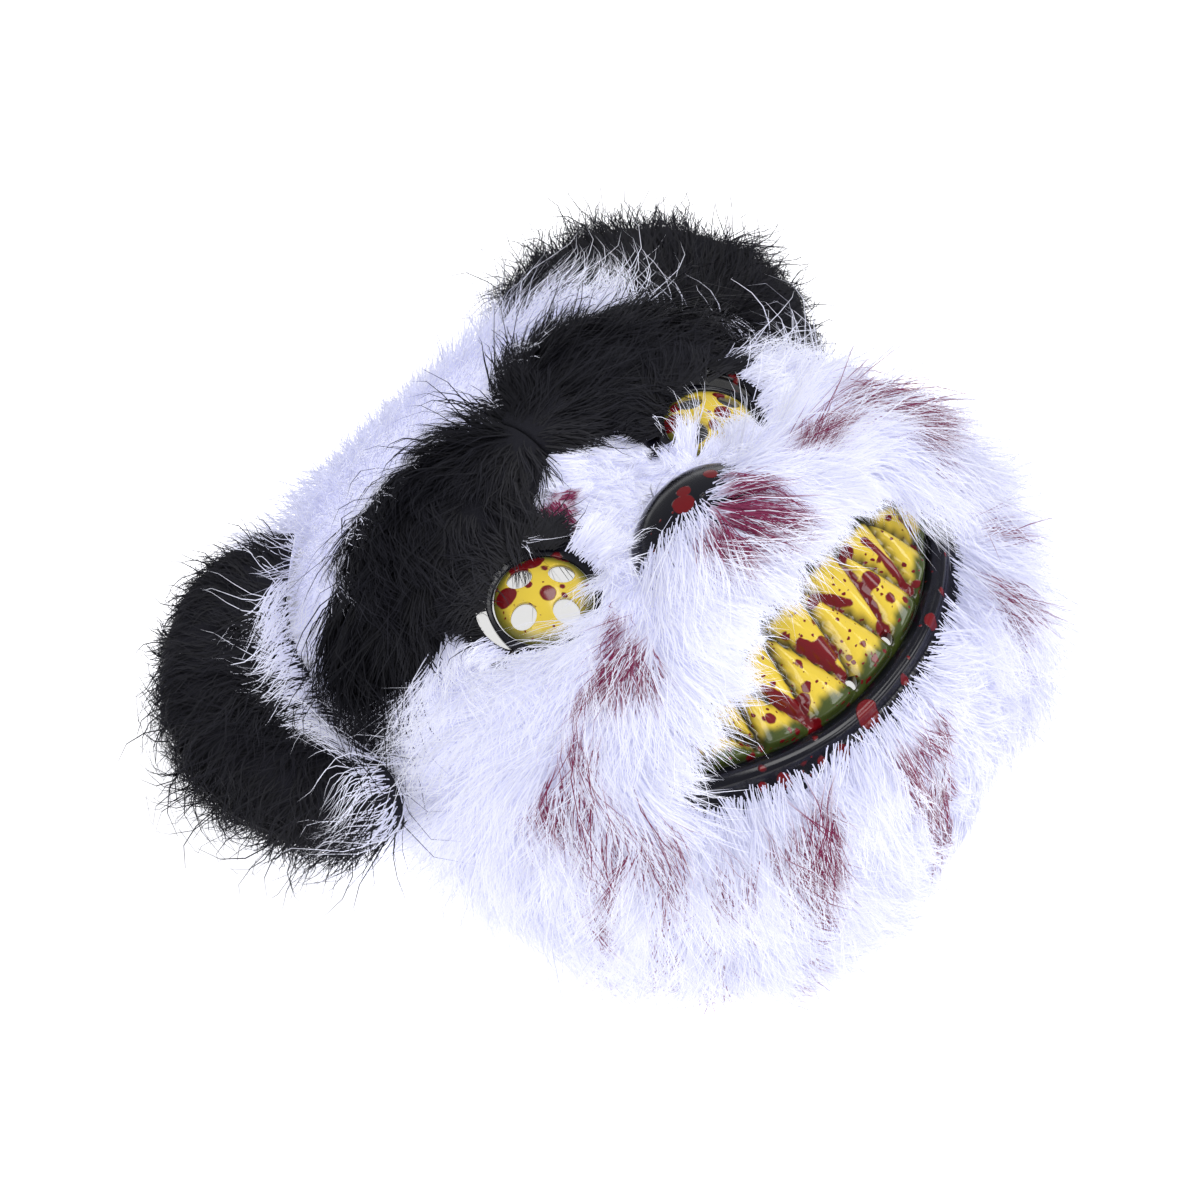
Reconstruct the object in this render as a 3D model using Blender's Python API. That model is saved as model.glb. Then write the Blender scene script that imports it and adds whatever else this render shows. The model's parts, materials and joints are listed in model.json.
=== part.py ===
"""Horror panda mask: a hard face shell under long fur, lying on its open back.

X runs from ear to ear, +Y to the forehead, -Y to the chin and +Z out of the face. The shell's rim
rests on Z = 0. Sizes are in millimetres and become metres where a mesh is made.
"""
import math
import random

import bmesh
import bpy
import numpy as np
from mathutils import Vector

MM = 0.001
GAP = 0.45
FRAME_SHIFT_Y = 1.0

# Outer face of the shell: half sizes at the rim, height of the face and roundness of its outline and side.
RIM_SIDE = 88.0
RIM_CHIN = 108.0
RIM_TOP = 112.0
FACE_HEIGHT = 91.0
JAW_POWER = 2.3
FOREHEAD_POWER = 3.0
SIDE_POWER = 4.5
SIDE_SOFTNESS = 0.36
SHELL_WALL = 1.8
RINGS = 10
SEGMENTS = 32

# Swellings (+) and hollows (-) of the face; a row off the centre line stands on both sides.
FACE_FORMS = (
    dict(x=0.0, y=-35.0, spread_x=62.0, spread_y=36.0, height=15.0),
    dict(x=0.0, y=-16.0, spread_x=22.0, spread_y=17.0, height=4.0),
    dict(x=41.0, y=7.0, spread_x=19.0, spread_y=19.0, height=-6.0),
    dict(x=72.0, y=-40.0, spread_x=20.0, spread_y=30.0, height=4.0),
)

# Thickness of the fur, and the places where it is shorter (-) or longer (+).
FUR_DEPTH = 17.0
FOREHEAD_DEPTH = 11.0
FUR_FORMS = (
    dict(x=41.0, y=12.0, spread_x=22.0, spread_y=20.0, height=-8.0),
    dict(x=0.0, y=22.0, spread_x=16.0, spread_y=18.0, height=-8.0),
    dict(x=0.0, y=-30.0, spread_x=52.0, spread_y=26.0, height=-4.0),
    dict(x=0.0, y=-118.0, spread_x=60.0, spread_y=26.0, height=2.0),
    dict(x=80.0, y=-30.0, spread_x=24.0, spread_y=45.0, height=9.0),
)
FUR_FOOT = 0.8
FUR_FOOT_SHARE = 0.38
FUR_FULL_HEIGHT = 36.0
COAT_SEAT = 0.75

# Eyes
EYE_X = 41.0
EYE_Y = 12.0
EYE_Z = 96.0
EYE_LEAN_X = 0.10
EYE_LEAN_Y = -0.03
DOME_RADIUS = 14.3
DOME_RISE = 6.0
DOME_WALL = 1.6
EYE_HOLE_RADIUS = 3.8
EYE_HOLE_OFFSET = 8.6
SOCKET_RADIUS = 22.6
SOCKET_WALL = 1.6
SOCKET_DEPTH = 13.0
SLIT_INNER = 16.3
SLIT_OUTER = 19.9
SLIT_START = math.radians(-10.0)
SLIT_END = math.radians(62.0)

# Nose
NOSE_Y = -16.0
NOSE_HALF_X = 23.5
NOSE_HALF_Y = 18.5
NOSE_RISE = 15.0
NOSE_WALL = 1.8
NOSE_OVERLAP = 4.5
NOSE_SIDES = 14
NOSTRIL_X = 11.5
NOSTRIL_Y = -27.0
NOSTRIL_RADIUS = 2.6

# Mouth: half width between the corners, and the gum lines as y = at_centre + bend * |x / 60| ** power.
MOUTH_HALF = 59.0
GUM_LOWER = dict(at_centre=-75.0, bend=26.0, power=2.3)
GUM_UPPER = dict(at_centre=-44.0, bend=-5.2, power=2.0)
GUM_BORDER = 1.6
PLATE_WALL = 1.7
PLATE_CLEAR = 0.8
TOOTH_RISE = 4.2
TOOTH_GROOVE = 0.9
LOWER_TIPS = (-53.0, -41.0, -26.7, -9.2, 9.2, 26.7, 41.0, 53.0)
UPPER_TIPS = (-56.5, -47.5, -34.5, -18.0, 0.0, 18.0, 34.5, 47.5, 56.5)
BREATH_HOLES = (
    dict(x=-9.2, jaw="lower"),
    dict(x=9.2, jaw="lower"),
    dict(x=-18.0, jaw="upper"),
    dict(x=0.0, jaw="upper"),
    dict(x=18.0, jaw="upper"),
)
BREATH_RADIUS = 1.7
LIP_WIDTH_BELOW = 10.0
LIP_WIDTH_ABOVE = 6.5
LIP_CORNER_REACH = 8.0
LIP_THICK = 6.0
LIP_SEAT = 0.6
LIP_CLEAR = 0.7

# Black brow patches: place along the brow, and the patch's lower and upper edge there.
BROW_ROWS = (
    dict(x=0.4, low=44.0, high=62.0),
    dict(x=8.0, low=39.5, high=69.0),
    dict(x=20.0, low=34.5, high=74.0),
    dict(x=36.0, low=31.0, high=76.5),
    dict(x=52.0, low=29.0, high=73.0),
    dict(x=65.0, low=28.0, high=65.0),
    dict(x=74.0, low=29.0, high=57.0),
    dict(x=80.0, low=33.0, high=47.0),
)
BROW_THICK = 16.0
BROW_EDGE = 0.62
BROW_SEAT = 0.8

# Ears: middle, half sizes outwards and along the head, and their tilt.
EAR_X = 84.0
EAR_Y = 64.0
EAR_Z = 55.0
EAR_OUT = 50.0
EAR_ALONG = 59.0
EAR_THICK = 38.0
EAR_CUP = 13.0
EAR_SIDES = 20
EAR_TURN = math.radians(33.0)
EAR_TILT = math.radians(8.0)

# Elastic strap inside the forehead, from temple to temple.
STRAP_WIDTH = 20.0
STRAP_THICK = 1.4
STRAP_FOOT = 4.0
STRAP_START = math.radians(12.0)

COLOURS = (
    dict(name="shell_plastic", colour=(0.035, 0.035, 0.04), roughness=0.5),
    dict(name="white_fur", colour=(0.80, 0.80, 0.87), roughness=0.95),
    dict(name="black_fur", colour=(0.012, 0.012, 0.016), roughness=0.95),
    dict(name="eye_yellow", colour=(0.75, 0.55, 0.03), roughness=0.15),
    dict(name="tooth_yellow", colour=(0.78, 0.58, 0.05), roughness=0.15),
    dict(name="black_gloss", colour=(0.010, 0.012, 0.018), roughness=0.12),
    dict(name="elastic_black", colour=(0.02, 0.02, 0.02), roughness=0.8),
)


# Shape of the face

def form_sum(x, y, forms):
    total = 0.0
    for form in forms:
        side_x = abs(x) if form["x"] > 0.0 else x
        across = (side_x - form["x"]) / form["spread_x"]
        along = (y - form["y"]) / form["spread_y"]
        total += form["height"] * math.exp(-0.5 * (across * across + along * along))
    return total


def smooth_step(value, low, high):
    t = min(max((value - low) / (high - low), 0.0), 1.0)
    return t * t * (3.0 - 2.0 * t)


def rim_share(x, y):
    """0 at the middle of the face and 1 at the shell's rim."""
    power = FOREHEAD_POWER if y > 0.0 else JAW_POWER
    length = RIM_TOP if y > 0.0 else RIM_CHIN
    return (abs(x / RIM_SIDE) ** power + abs(y / length) ** power) ** (1.0 / power)


def shell_height(x, y):
    share = min(rim_share(x, y), 1.0)
    side = (1.0 - share ** SIDE_POWER) ** SIDE_SOFTNESS
    return (FACE_HEIGHT + form_sum(x, y, FACE_FORMS)) * side


def shell_normal(x, y):
    share = rim_share(x, y)
    if share > 0.9985:
        x *= 0.9985 / share
        y *= 0.9985 / share
    step = 0.02
    slope_x = (shell_height(x + step, y) - shell_height(x - step, y)) / (2.0 * step)
    slope_y = (shell_height(x, y + step) - shell_height(x, y - step)) / (2.0 * step)
    return Vector((-slope_x, -slope_y, 1.0)).normalized()


def on_shell(x, y, lift):
    return Vector((x, y, shell_height(x, y))) + shell_normal(x, y) * lift


def ring_shares():
    """Rim shares of rings that lie equally far apart along the face's profile."""
    fine = np.sin(np.linspace(0.0, math.pi / 2.0, 400))
    heights = FACE_HEIGHT * (1.0 - fine ** SIDE_POWER) ** SIDE_SOFTNESS
    steps = np.hypot(np.diff(fine * 98.0), np.diff(heights))
    walked = np.concatenate(([0.0], np.cumsum(steps)))
    return fine, walked / walked[-1]


SHARES, WALKED = ring_shares()


def on_face(angle, walk, lift):
    """Point at an angle round the face and at a share of the way from its middle to the rim."""
    share = float(np.interp(walk, WALKED, SHARES))
    power = FOREHEAD_POWER if math.sin(angle) > 0.0 else JAW_POWER
    length = RIM_TOP if math.sin(angle) > 0.0 else RIM_CHIN
    across = abs(math.cos(angle) / RIM_SIDE) ** power
    along = abs(math.sin(angle) / length) ** power
    radius = share * (across + along) ** (-1.0 / power)
    return on_shell(radius * math.cos(angle), radius * math.sin(angle), lift)


def fur_depth(x, y):
    """Thickness of the fur, thinner again where it tucks in towards the foot."""
    depth = FUR_DEPTH + (FOREHEAD_DEPTH - FUR_DEPTH) * smooth_step(y, 15.0, 68.0)
    full = smooth_step(shell_height(x, y), 0.0, FUR_FULL_HEIGHT)
    return (depth + form_sum(x, y, FUR_FORMS)) * (FUR_FOOT_SHARE + (1.0 - FUR_FOOT_SHARE) * full)


def fur_surface(angle, walk, extra):
    foot = on_face(angle, walk, 0.0)
    return on_face(angle, walk, fur_depth(foot.x, foot.y) + extra)


def gum_line(x, gum):
    return gum["at_centre"] + gum["bend"] * abs(x / 60.0) ** gum["power"]


# Meshes

def new_object(name, mesh_tool, material=None):
    mesh = bpy.data.meshes.new(name)
    bmesh.ops.recalc_face_normals(mesh_tool, faces=mesh_tool.faces)
    for vertex in mesh_tool.verts:
        vertex.co *= MM
    mesh_tool.to_mesh(mesh)
    mesh_tool.free()
    mesh.shade_smooth()
    mesh.set_sharp_from_angle(angle=math.radians(40.0))
    made = bpy.data.objects.new(name, mesh)
    bpy.context.scene.collection.objects.link(made)
    made.parent = FRAME
    if material:
        mesh.materials.append(bpy.data.materials[material])
    return made


def add_rows(bm, rows):
    return [[bm.verts.new(point) for point in row] for row in rows]


def bridge_rows(bm, first, second, closed=True, split=False):
    """Faces between two rows of vertices; split ones share the same diagonal in every layer."""
    count = len(first)
    for i in range(count if closed else count - 1):
        j = (i + 1) % count
        if split:
            bm.faces.new((first[i], first[j], second[j]))
            bm.faces.new((first[i], second[j], second[i]))
        else:
            bm.faces.new((first[i], first[j], second[j], second[i]))


def cap_skin(name, outer_lift, inner_lift, foot, material):
    """Thick skin over the whole face between two heights above the shell."""
    bm = bmesh.new()
    sides = []
    for lift in (outer_lift, inner_lift):
        middle = bm.verts.new(lift(math.pi / 2.0, 0.0))
        rings = []
        for ring in range(1, RINGS + 1):
            row = []
            for segment in range(SEGMENTS):
                point = lift(2.0 * math.pi * segment / SEGMENTS, ring / RINGS)
                low = foot if ring == RINGS else foot + 2.0
                point.z = foot if ring == RINGS else max(point.z, low)
                row.append(bm.verts.new(point))
            rings.append(row)
        for i in range(SEGMENTS):
            bm.faces.new((middle, rings[0][i], rings[0][(i + 1) % SEGMENTS]))
        for first, second in zip(rings, rings[1:]):
            bridge_rows(bm, first, second, split=True)
        sides.append(rings[-1])
    bridge_rows(bm, sides[0], sides[1])
    return new_object(name, bm, material)


def head_solid(name, lift, foot):
    """Whole head under a height above the shell, closed flat at its foot."""
    bm = bmesh.new()
    middle = bm.verts.new(lift(math.pi / 2.0, 0.0))
    rings = []
    for ring in range(1, RINGS + 1):
        row = [lift(2.0 * math.pi * segment / SEGMENTS, ring / RINGS) for segment in range(SEGMENTS)]
        if ring == RINGS:
            for point in row:
                point.z = foot
        rings.append([bm.verts.new(point) for point in row])
    for i in range(SEGMENTS):
        bm.faces.new((middle, rings[0][i], rings[0][(i + 1) % SEGMENTS]))
    for first, second in zip(rings, rings[1:]):
        bridge_rows(bm, first, second)
    bm.faces.new(rings[-1])
    return as_tool(new_object(name, bm))


def slab(bm, upper_rows, lower_rows):
    """Closed solid between two grids of the same size."""
    upper = add_rows(bm, upper_rows)
    lower = add_rows(bm, lower_rows)
    for grid in (upper, lower):
        for first, second in zip(grid, grid[1:]):
            bridge_rows(bm, first, second, closed=False)
    for grid_edge in (
        (upper[0], lower[0]),
        (upper[-1], lower[-1]),
        ([row[0] for row in upper], [row[0] for row in lower]),
        ([row[-1] for row in upper], [row[-1] for row in lower]),
    ):
        bridge_rows(bm, *grid_edge, closed=False)


def prism(name, outline, bottom, top):
    bm = bmesh.new()
    low = [bm.verts.new((x, y, bottom)) for x, y in outline]
    high = [bm.verts.new((x, y, top)) for x, y in outline]
    bridge_rows(bm, low, high)
    bm.faces.new(low)
    bm.faces.new(high)
    return as_tool(new_object(name, bm))


def room_over(name, outline, low, high):
    """Closed solid over an outline on the shell, between two lifts along the shell's normals."""
    bm = bmesh.new()
    middle_x = sum(x for x, y in outline) / len(outline)
    middle_y = sum(y for x, y in outline) / len(outline)
    rings = []
    for lift in (low, high):
        ring = [bm.verts.new(on_shell(x, y, lift)) for x, y in outline]
        middle = bm.verts.new(on_shell(middle_x, middle_y, lift))
        for i in range(len(ring)):
            bm.faces.new((middle, ring[i], ring[(i + 1) % len(ring)]))
        rings.append(ring)
    bridge_rows(bm, *rings)
    return as_tool(new_object(name, bm))


def ellipse(x, y, half_x, half_y, count):
    turns = [2.0 * math.pi * i / count for i in range(count)]
    return [(x + half_x * math.cos(a), y + half_y * math.sin(a)) for a in turns]


def as_tool(made):
    made.hide_render = True
    made.display_type = "WIRE"
    return made


def use_tool(made, tool, operation, solver="EXACT"):
    modifier = made.modifiers.new(tool.name, "BOOLEAN")
    modifier.object = tool
    modifier.operation = operation
    modifier.solver = solver
    modifier.use_self = operation == "UNION"


def spin(bm, profile, segments, frame, closed_profile):
    """Turns a profile of (radius, height) about the frame's axis; a radius of 0 is a pole."""
    rows = []
    for radius, height in profile:
        if radius == 0.0:
            rows.append([bm.verts.new(frame(0.0, 0.0, height))])
            continue
        turns = [2.0 * math.pi * i / segments for i in range(segments)]
        rows.append([bm.verts.new(frame(radius * math.cos(a), radius * math.sin(a), height)) for a in turns])
    pairs = list(zip(rows, rows[1:]))
    if closed_profile:
        pairs.append((rows[-1], rows[0]))
    for first, second in pairs:
        if len(first) == 1 or len(second) == 1:
            pole, ring = (first, second) if len(first) == 1 else (second, first)
            for i in range(segments):
                bm.faces.new((pole[0], ring[i], ring[(i + 1) % segments]))
        else:
            bridge_rows(bm, first, second)


# Locks of fur

def add_lock(bm, base, middle, tip, up, width, thick):
    """Pointed lock with a diamond section, from a buried base over its middle to its tip."""
    flow = (tip - base).normalized()
    side = up.cross(flow).normalized()
    rows = []
    for centre, share in ((base, 0.75), (middle, 1.0)):
        rows.append([
            bm.verts.new(centre + side * width * share),
            bm.verts.new(centre + up * thick * share),
            bm.verts.new(centre - side * width * share),
            bm.verts.new(centre - up * thick * share),
        ])
    bridge_rows(bm, rows[0], rows[1])
    bm.faces.new(rows[0])
    point = bm.verts.new(tip)
    for i in range(4):
        bm.faces.new((rows[1][i], rows[1][(i + 1) % 4], point))


def face_locks(name, rings, turn_step, start, end, length, width, rise, seed):
    """Rows of locks that lie outwards down the fur, each row half a step on from the last."""
    chance = random.Random(seed)
    bm = bmesh.new()
    for row, walk in enumerate(rings):
        count = max(1, round((end - start) / turn_step))
        for i in range(count):
            share = (i + 0.5 + 0.25 * (row % 2) + chance.uniform(-0.08, 0.08)) / (count + 0.25)
            angle = start + (end - start) * share
            drift = chance.uniform(-0.05, 0.05)
            long = length * chance.uniform(0.85, 1.1)
            base = fur_surface(angle, walk, -3.0)
            middle = fur_surface(angle + 0.5 * drift, walk + 0.5 * long, 0.2)
            tip = fur_surface(angle + drift, min(walk + long, 0.985), rise * chance.uniform(0.7, 1.2))
            up = shell_normal(middle.x * 0.8, middle.y * 0.8)
            add_lock(bm, base, middle, tip, up, width * chance.uniform(0.85, 1.15), 3.4)
    return as_tool(new_object(name, bm))


# Pieces

def mouth_outline(border, count=15):
    """Outline of the mouth, widened by a border, anticlockwise from the left corner."""
    half = MOUTH_HALF + border
    turns = [math.pi * i / (count - 1) for i in range(count)]
    lower = [(-half * math.cos(a), a) for a in turns]
    points = []
    for x, a in lower:
        inside = x * MOUTH_HALF / half
        points.append((x, gum_line(inside, GUM_LOWER) - border * math.sin(a) ** 0.5))
    for x, a in reversed(lower[1:-1]):
        inside = x * MOUTH_HALF / half
        points.append((x, gum_line(inside, GUM_UPPER) + border * math.sin(a) ** 0.5))
    return points


def build_shell():
    shell = cap_skin(
        "face_shell",
        lambda angle, walk: on_face(angle, walk, 0.0),
        lambda angle, walk: on_face(angle, walk, -SHELL_WALL),
        0.0,
        "shell_plastic",
    )
    mouth = room_over("mouth_cut", mouth_outline(GUM_BORDER + PLATE_CLEAR), -14.0, 22.0)
    use_tool(shell, mouth, "DIFFERENCE", "MANIFOLD")
    opening = ellipse(0.0, NOSE_Y, NOSE_HALF_X - NOSE_OVERLAP, NOSE_HALF_Y - NOSE_OVERLAP, 16)
    nose = prism("nose_cut", opening, 60.0, 130.0)
    use_tool(shell, nose, "DIFFERENCE", "MANIFOLD")
    for side, word in ((-1.0, "left"), (1.0, "right")):
        bm = bmesh.new()
        reach = SOCKET_RADIUS + GAP
        spin(bm, ((0.0, -30.0), (reach, -30.0), (reach, 30.0), (0.0, 30.0)), 20, eye_frame(side), False)
        use_tool(shell, as_tool(new_object("eye_cut_" + word, bm)), "DIFFERENCE", "MANIFOLD")
    return shell


def eye_frame(side):
    centre = Vector((EYE_X * side, EYE_Y, EYE_Z))
    axis = Vector((EYE_LEAN_X * side, EYE_LEAN_Y, 1.0)).normalized()
    across = (Vector((1.0, 0.0, 0.0)) - axis * axis.x).normalized()
    along = axis.cross(across)

    def place(x, y, z):
        return centre + across * x * side + along * y + axis * z

    return place


def build_eye(side, word):
    place = eye_frame(side)
    sphere = (DOME_RADIUS ** 2 + DOME_RISE ** 2) / (2.0 * DOME_RISE)
    outer = []
    inner = []
    for share in (1.0, 0.6, 0.0):
        radius = DOME_RADIUS * share
        outer.append((radius, math.sqrt(sphere ** 2 - radius ** 2) - sphere + DOME_RISE))
        small = (DOME_RADIUS - DOME_WALL) * share
        inner.append((small, math.sqrt(sphere ** 2 - small ** 2) - sphere + DOME_RISE - DOME_WALL * 1.15))
    bm = bmesh.new()
    spin(bm, list(reversed(inner))[:-1] + [(DOME_RADIUS - DOME_WALL, -1.4), (DOME_RADIUS, -1.4)] + outer,
         18, place, False)
    dome = new_object("eye_dome_" + word, bm, "eye_yellow")
    for number, turn in enumerate((0.0, 0.5, 1.0, 1.5)):
        x = EYE_HOLE_OFFSET * math.cos(turn * math.pi)
        y = EYE_HOLE_OFFSET * math.sin(turn * math.pi)

        def hole_place(hole_x, hole_y, hole_z):
            return place(x + hole_x, y + hole_y, hole_z)

        bm = bmesh.new()
        reach = EYE_HOLE_RADIUS
        spin(bm, ((0.0, -12.0), (reach, -12.0), (reach, 16.0), (0.0, 16.0)), 8, hole_place, False)
        hole = as_tool(new_object("eye_hole_%s_%d" % (word, number), bm))
        use_tool(dome, hole, "DIFFERENCE", "MANIFOLD")

    bm = bmesh.new()
    hole_radius = DOME_RADIUS + GAP
    cup = (
        (hole_radius, -2.0),
        (hole_radius, 0.0),
        (SOCKET_RADIUS - SOCKET_WALL, 2.2),
        (SOCKET_RADIUS, 2.2),
        (SOCKET_RADIUS, 2.2 - SOCKET_DEPTH),
        (SOCKET_RADIUS - SOCKET_WALL, 2.2 - SOCKET_DEPTH),
        (SOCKET_RADIUS - SOCKET_WALL, -1.4),
    )
    spin(bm, cup, 20, place, True)
    socket = new_object("eye_socket_" + word, bm, "black_gloss")
    bm = bmesh.new()
    upper = []
    lower = []
    for i in range(7):
        turn = SLIT_START + (SLIT_END - SLIT_START) * i / 6.0
        belly = max(0.12, math.sin(math.pi * i / 6.0) ** 0.6)
        middle = 0.5 * (SLIT_INNER + SLIT_OUTER)
        half = 0.5 * (SLIT_OUTER - SLIT_INNER) * belly
        ends = (middle - half, middle + half)
        upper.append([place(r * math.cos(turn), r * math.sin(turn), 6.0) for r in ends])
        lower.append([place(r * math.cos(turn), r * math.sin(turn), -6.0) for r in ends])
    slab(bm, upper, lower)
    use_tool(socket, as_tool(new_object("slit_cut_" + word, bm)), "DIFFERENCE")


def build_nose():
    bm = bmesh.new()
    rows = []
    sections = (
        dict(size=0.0, rise=1.0),
        dict(size=0.35, rise=0.95),
        dict(size=0.65, rise=0.79),
        dict(size=0.88, rise=0.48),
        dict(size=1.0, rise=0.03),
    )
    turns = [2.0 * math.pi * i / NOSE_SIDES for i in range(NOSE_SIDES)]
    for layer in (0, 1):
        for section in sections:
            inset = NOSE_WALL * layer
            half_x = (NOSE_HALF_X - inset) * section["size"]
            half_y = (NOSE_HALF_Y - inset) * section["size"]
            lift = GAP + NOSE_RISE * section["rise"] - inset * (section["size"] < 1.0)
            lift = max(lift, GAP)
            if section["size"] == 0.0:
                rows.append([on_shell(0.0, NOSE_Y, lift)])
                continue
            row = []
            for a in turns:
                x = half_x * math.cos(a) * (1.0 + 0.10 * math.sin(a))
                y = NOSE_Y + half_y * math.sin(a)
                row.append(on_shell(x, y, lift))
            rows.append(row)
    outer = add_rows(bm, rows[:5])
    inner = add_rows(bm, rows[5:])
    for grid in (outer, inner):
        for i in range(NOSE_SIDES):
            bm.faces.new((grid[0][0], grid[1][i], grid[1][(i + 1) % NOSE_SIDES]))
        for first, second in zip(grid[1:], grid[2:]):
            bridge_rows(bm, first, second)
    bridge_rows(bm, outer[-1], inner[-1])
    nose = new_object("nose", bm, "black_gloss")
    for side, word in ((-1.0, "left"), (1.0, "right")):
        outline = ellipse(NOSTRIL_X * side, NOSTRIL_Y, NOSTRIL_RADIUS, NOSTRIL_RADIUS, 10)
        use_tool(nose, prism("nostril_" + word, outline, 80.0, 140.0), "DIFFERENCE")


def inset_triangle(corners, inset):
    """Corners of a triangle moved in by the same distance from each side."""
    a, b, c = (Vector((p[0], p[1])) for p in corners)
    sides = ((b - c).length, (c - a).length, (a - b).length)
    around = sum(sides)
    centre = (a * sides[0] + b * sides[1] + c * sides[2]) / around
    area = abs((b - a).cross(c - a)) * 0.5
    inner_radius = 2.0 * area / around
    share = max(1.0 - inset / inner_radius, 0.12)
    return [centre + (p - centre) * share for p in (a, b, c)]


def build_teeth():
    bm = bmesh.new()
    columns = 15
    upper_rows = []
    lower_rows = []
    half = MOUTH_HALF + GUM_BORDER
    for i in range(columns):
        a = math.pi * i / (columns - 1)
        x = -half * math.cos(a)
        inside = x * MOUTH_HALF / half
        border = GUM_BORDER * math.sin(a) ** 0.5 + 0.15
        low = gum_line(inside, GUM_LOWER) - border
        high = gum_line(inside, GUM_UPPER) + border
        ys = [low + (high - low) * j / 3.0 for j in range(4)]
        upper_rows.append([on_shell(x, y, -0.2) for y in ys])
        lower_rows.append([on_shell(x, y, -0.2 - PLATE_WALL) for y in ys])
    slab(bm, upper_rows, lower_rows)
    teeth = new_object("teeth_plate", bm, "tooth_yellow")

    lower_tips = [(x, gum_line(x, GUM_LOWER)) for x in LOWER_TIPS]
    upper_tips = [(x, gum_line(x, GUM_UPPER)) for x in UPPER_TIPS]
    tips = sorted(lower_tips + upper_tips)
    bm = bmesh.new()
    for corners in zip(tips, tips[1:], tips[2:]):
        foot = inset_triangle(corners, TOOTH_GROOVE)
        crown = inset_triangle(corners, TOOTH_GROOVE + 1.5)
        low = [bm.verts.new(on_shell(p.x, p.y, -1.1)) for p in foot]
        high = [bm.verts.new(on_shell(p.x, p.y, TOOTH_RISE - 1.2)) for p in crown]
        bridge_rows(bm, low, high)
        bm.faces.new(low)
        middle = sum(crown, Vector((0.0, 0.0))) / 3.0
        peak = bm.verts.new(on_shell(middle.x, middle.y, TOOTH_RISE))
        for j in range(3):
            bm.faces.new((high[j], high[(j + 1) % 3], peak))
    use_tool(teeth, as_tool(new_object("tooth_wedges", bm)), "UNION")
    for number, hole in enumerate(BREATH_HOLES):
        jaw = GUM_LOWER if hole["jaw"] == "lower" else GUM_UPPER
        inward = 2.6 if hole["jaw"] == "lower" else -2.6
        outline = ellipse(hole["x"], gum_line(hole["x"], jaw) + inward, BREATH_RADIUS, BREATH_RADIUS, 8)
        use_tool(teeth, prism("breath_hole_%d" % number, outline, 70.0, 130.0), "DIFFERENCE", "MANIFOLD")


def lip_outline(share, count=16):
    """Outline round the mouth, from the tooth line at 0 to the lip's outer edge at 1."""
    points = []
    for jaw, width in ((GUM_LOWER, -LIP_WIDTH_BELOW), (GUM_UPPER, LIP_WIDTH_ABOVE)):
        for i in range(count - 1):
            a = math.pi * i / (count - 1)
            a = a if width < 0.0 else math.pi - a
            half = MOUTH_HALF + 0.6 + LIP_CORNER_REACH * share
            x = -half * math.cos(a)
            inside = x * MOUTH_HALF / half
            swell = math.sin(a) ** 0.45 if 0.0 < a < math.pi else 0.0
            y = gum_line(inside, jaw) + (0.4 * math.copysign(1.0, width) + width * share) * swell
            if swell == 0.0:
                y = 0.5 * (gum_line(MOUTH_HALF, GUM_LOWER) + gum_line(MOUTH_HALF, GUM_UPPER))
            points.append((x, y))
    return points


def build_lip():
    section = (
        dict(share=0.0, lift=LIP_SEAT),
        dict(share=0.04, lift=3.2),
        dict(share=0.26, lift=LIP_THICK),
        dict(share=0.50, lift=4.2),
        dict(share=0.76, lift=LIP_THICK - 0.2),
        dict(share=0.97, lift=3.4),
        dict(share=1.0, lift=LIP_SEAT),
        dict(share=0.5, lift=LIP_SEAT + 0.1),
    )
    bm = bmesh.new()
    rows = []
    for station in section:
        outline = lip_outline(station["share"])
        rows.append([bm.verts.new(on_shell(x, y, station["lift"])) for x, y in outline])
    for first, second in zip(rows, rows[1:] + rows[:1]):
        bridge_rows(bm, first, second)
    new_object("lip_ring", bm, "black_gloss")


def brow_edge(x, edge):
    return float(np.interp(x, [row["x"] for row in BROW_ROWS], [row[edge] for row in BROW_ROWS]))


def brow_grid(side, lift_edge, lift_middle, border):
    """Grid of points over one brow patch, with its lift at the edge and along the middle."""
    across = 7
    stations = 13
    inner = BROW_ROWS[0]["x"]
    outer = BROW_ROWS[-1]["x"]
    rows = []
    for i in range(stations):
        share = i / (stations - 1)
        place = inner + (outer - inner) * share
        x = place - (1.4 if border and i == 0 else 0.0) + (border if i == stations - 1 else 0.0)
        low = brow_edge(place, "low") - border
        high = brow_edge(place, "high") + border
        row = []
        for j in range(across):
            turn = j / (across - 1)
            bulge = math.sin(math.pi * turn) ** 0.6 if 0 < j < across - 1 else 0.0
            bulge *= 0.0 if i == stations - 1 else 1.0 - 0.45 * share ** 6
            lift = lift_edge + (lift_middle - lift_edge) * bulge
            row.append(on_shell(x * side, low + (high - low) * turn, lift))
        rows.append(row)
    return rows


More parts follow.
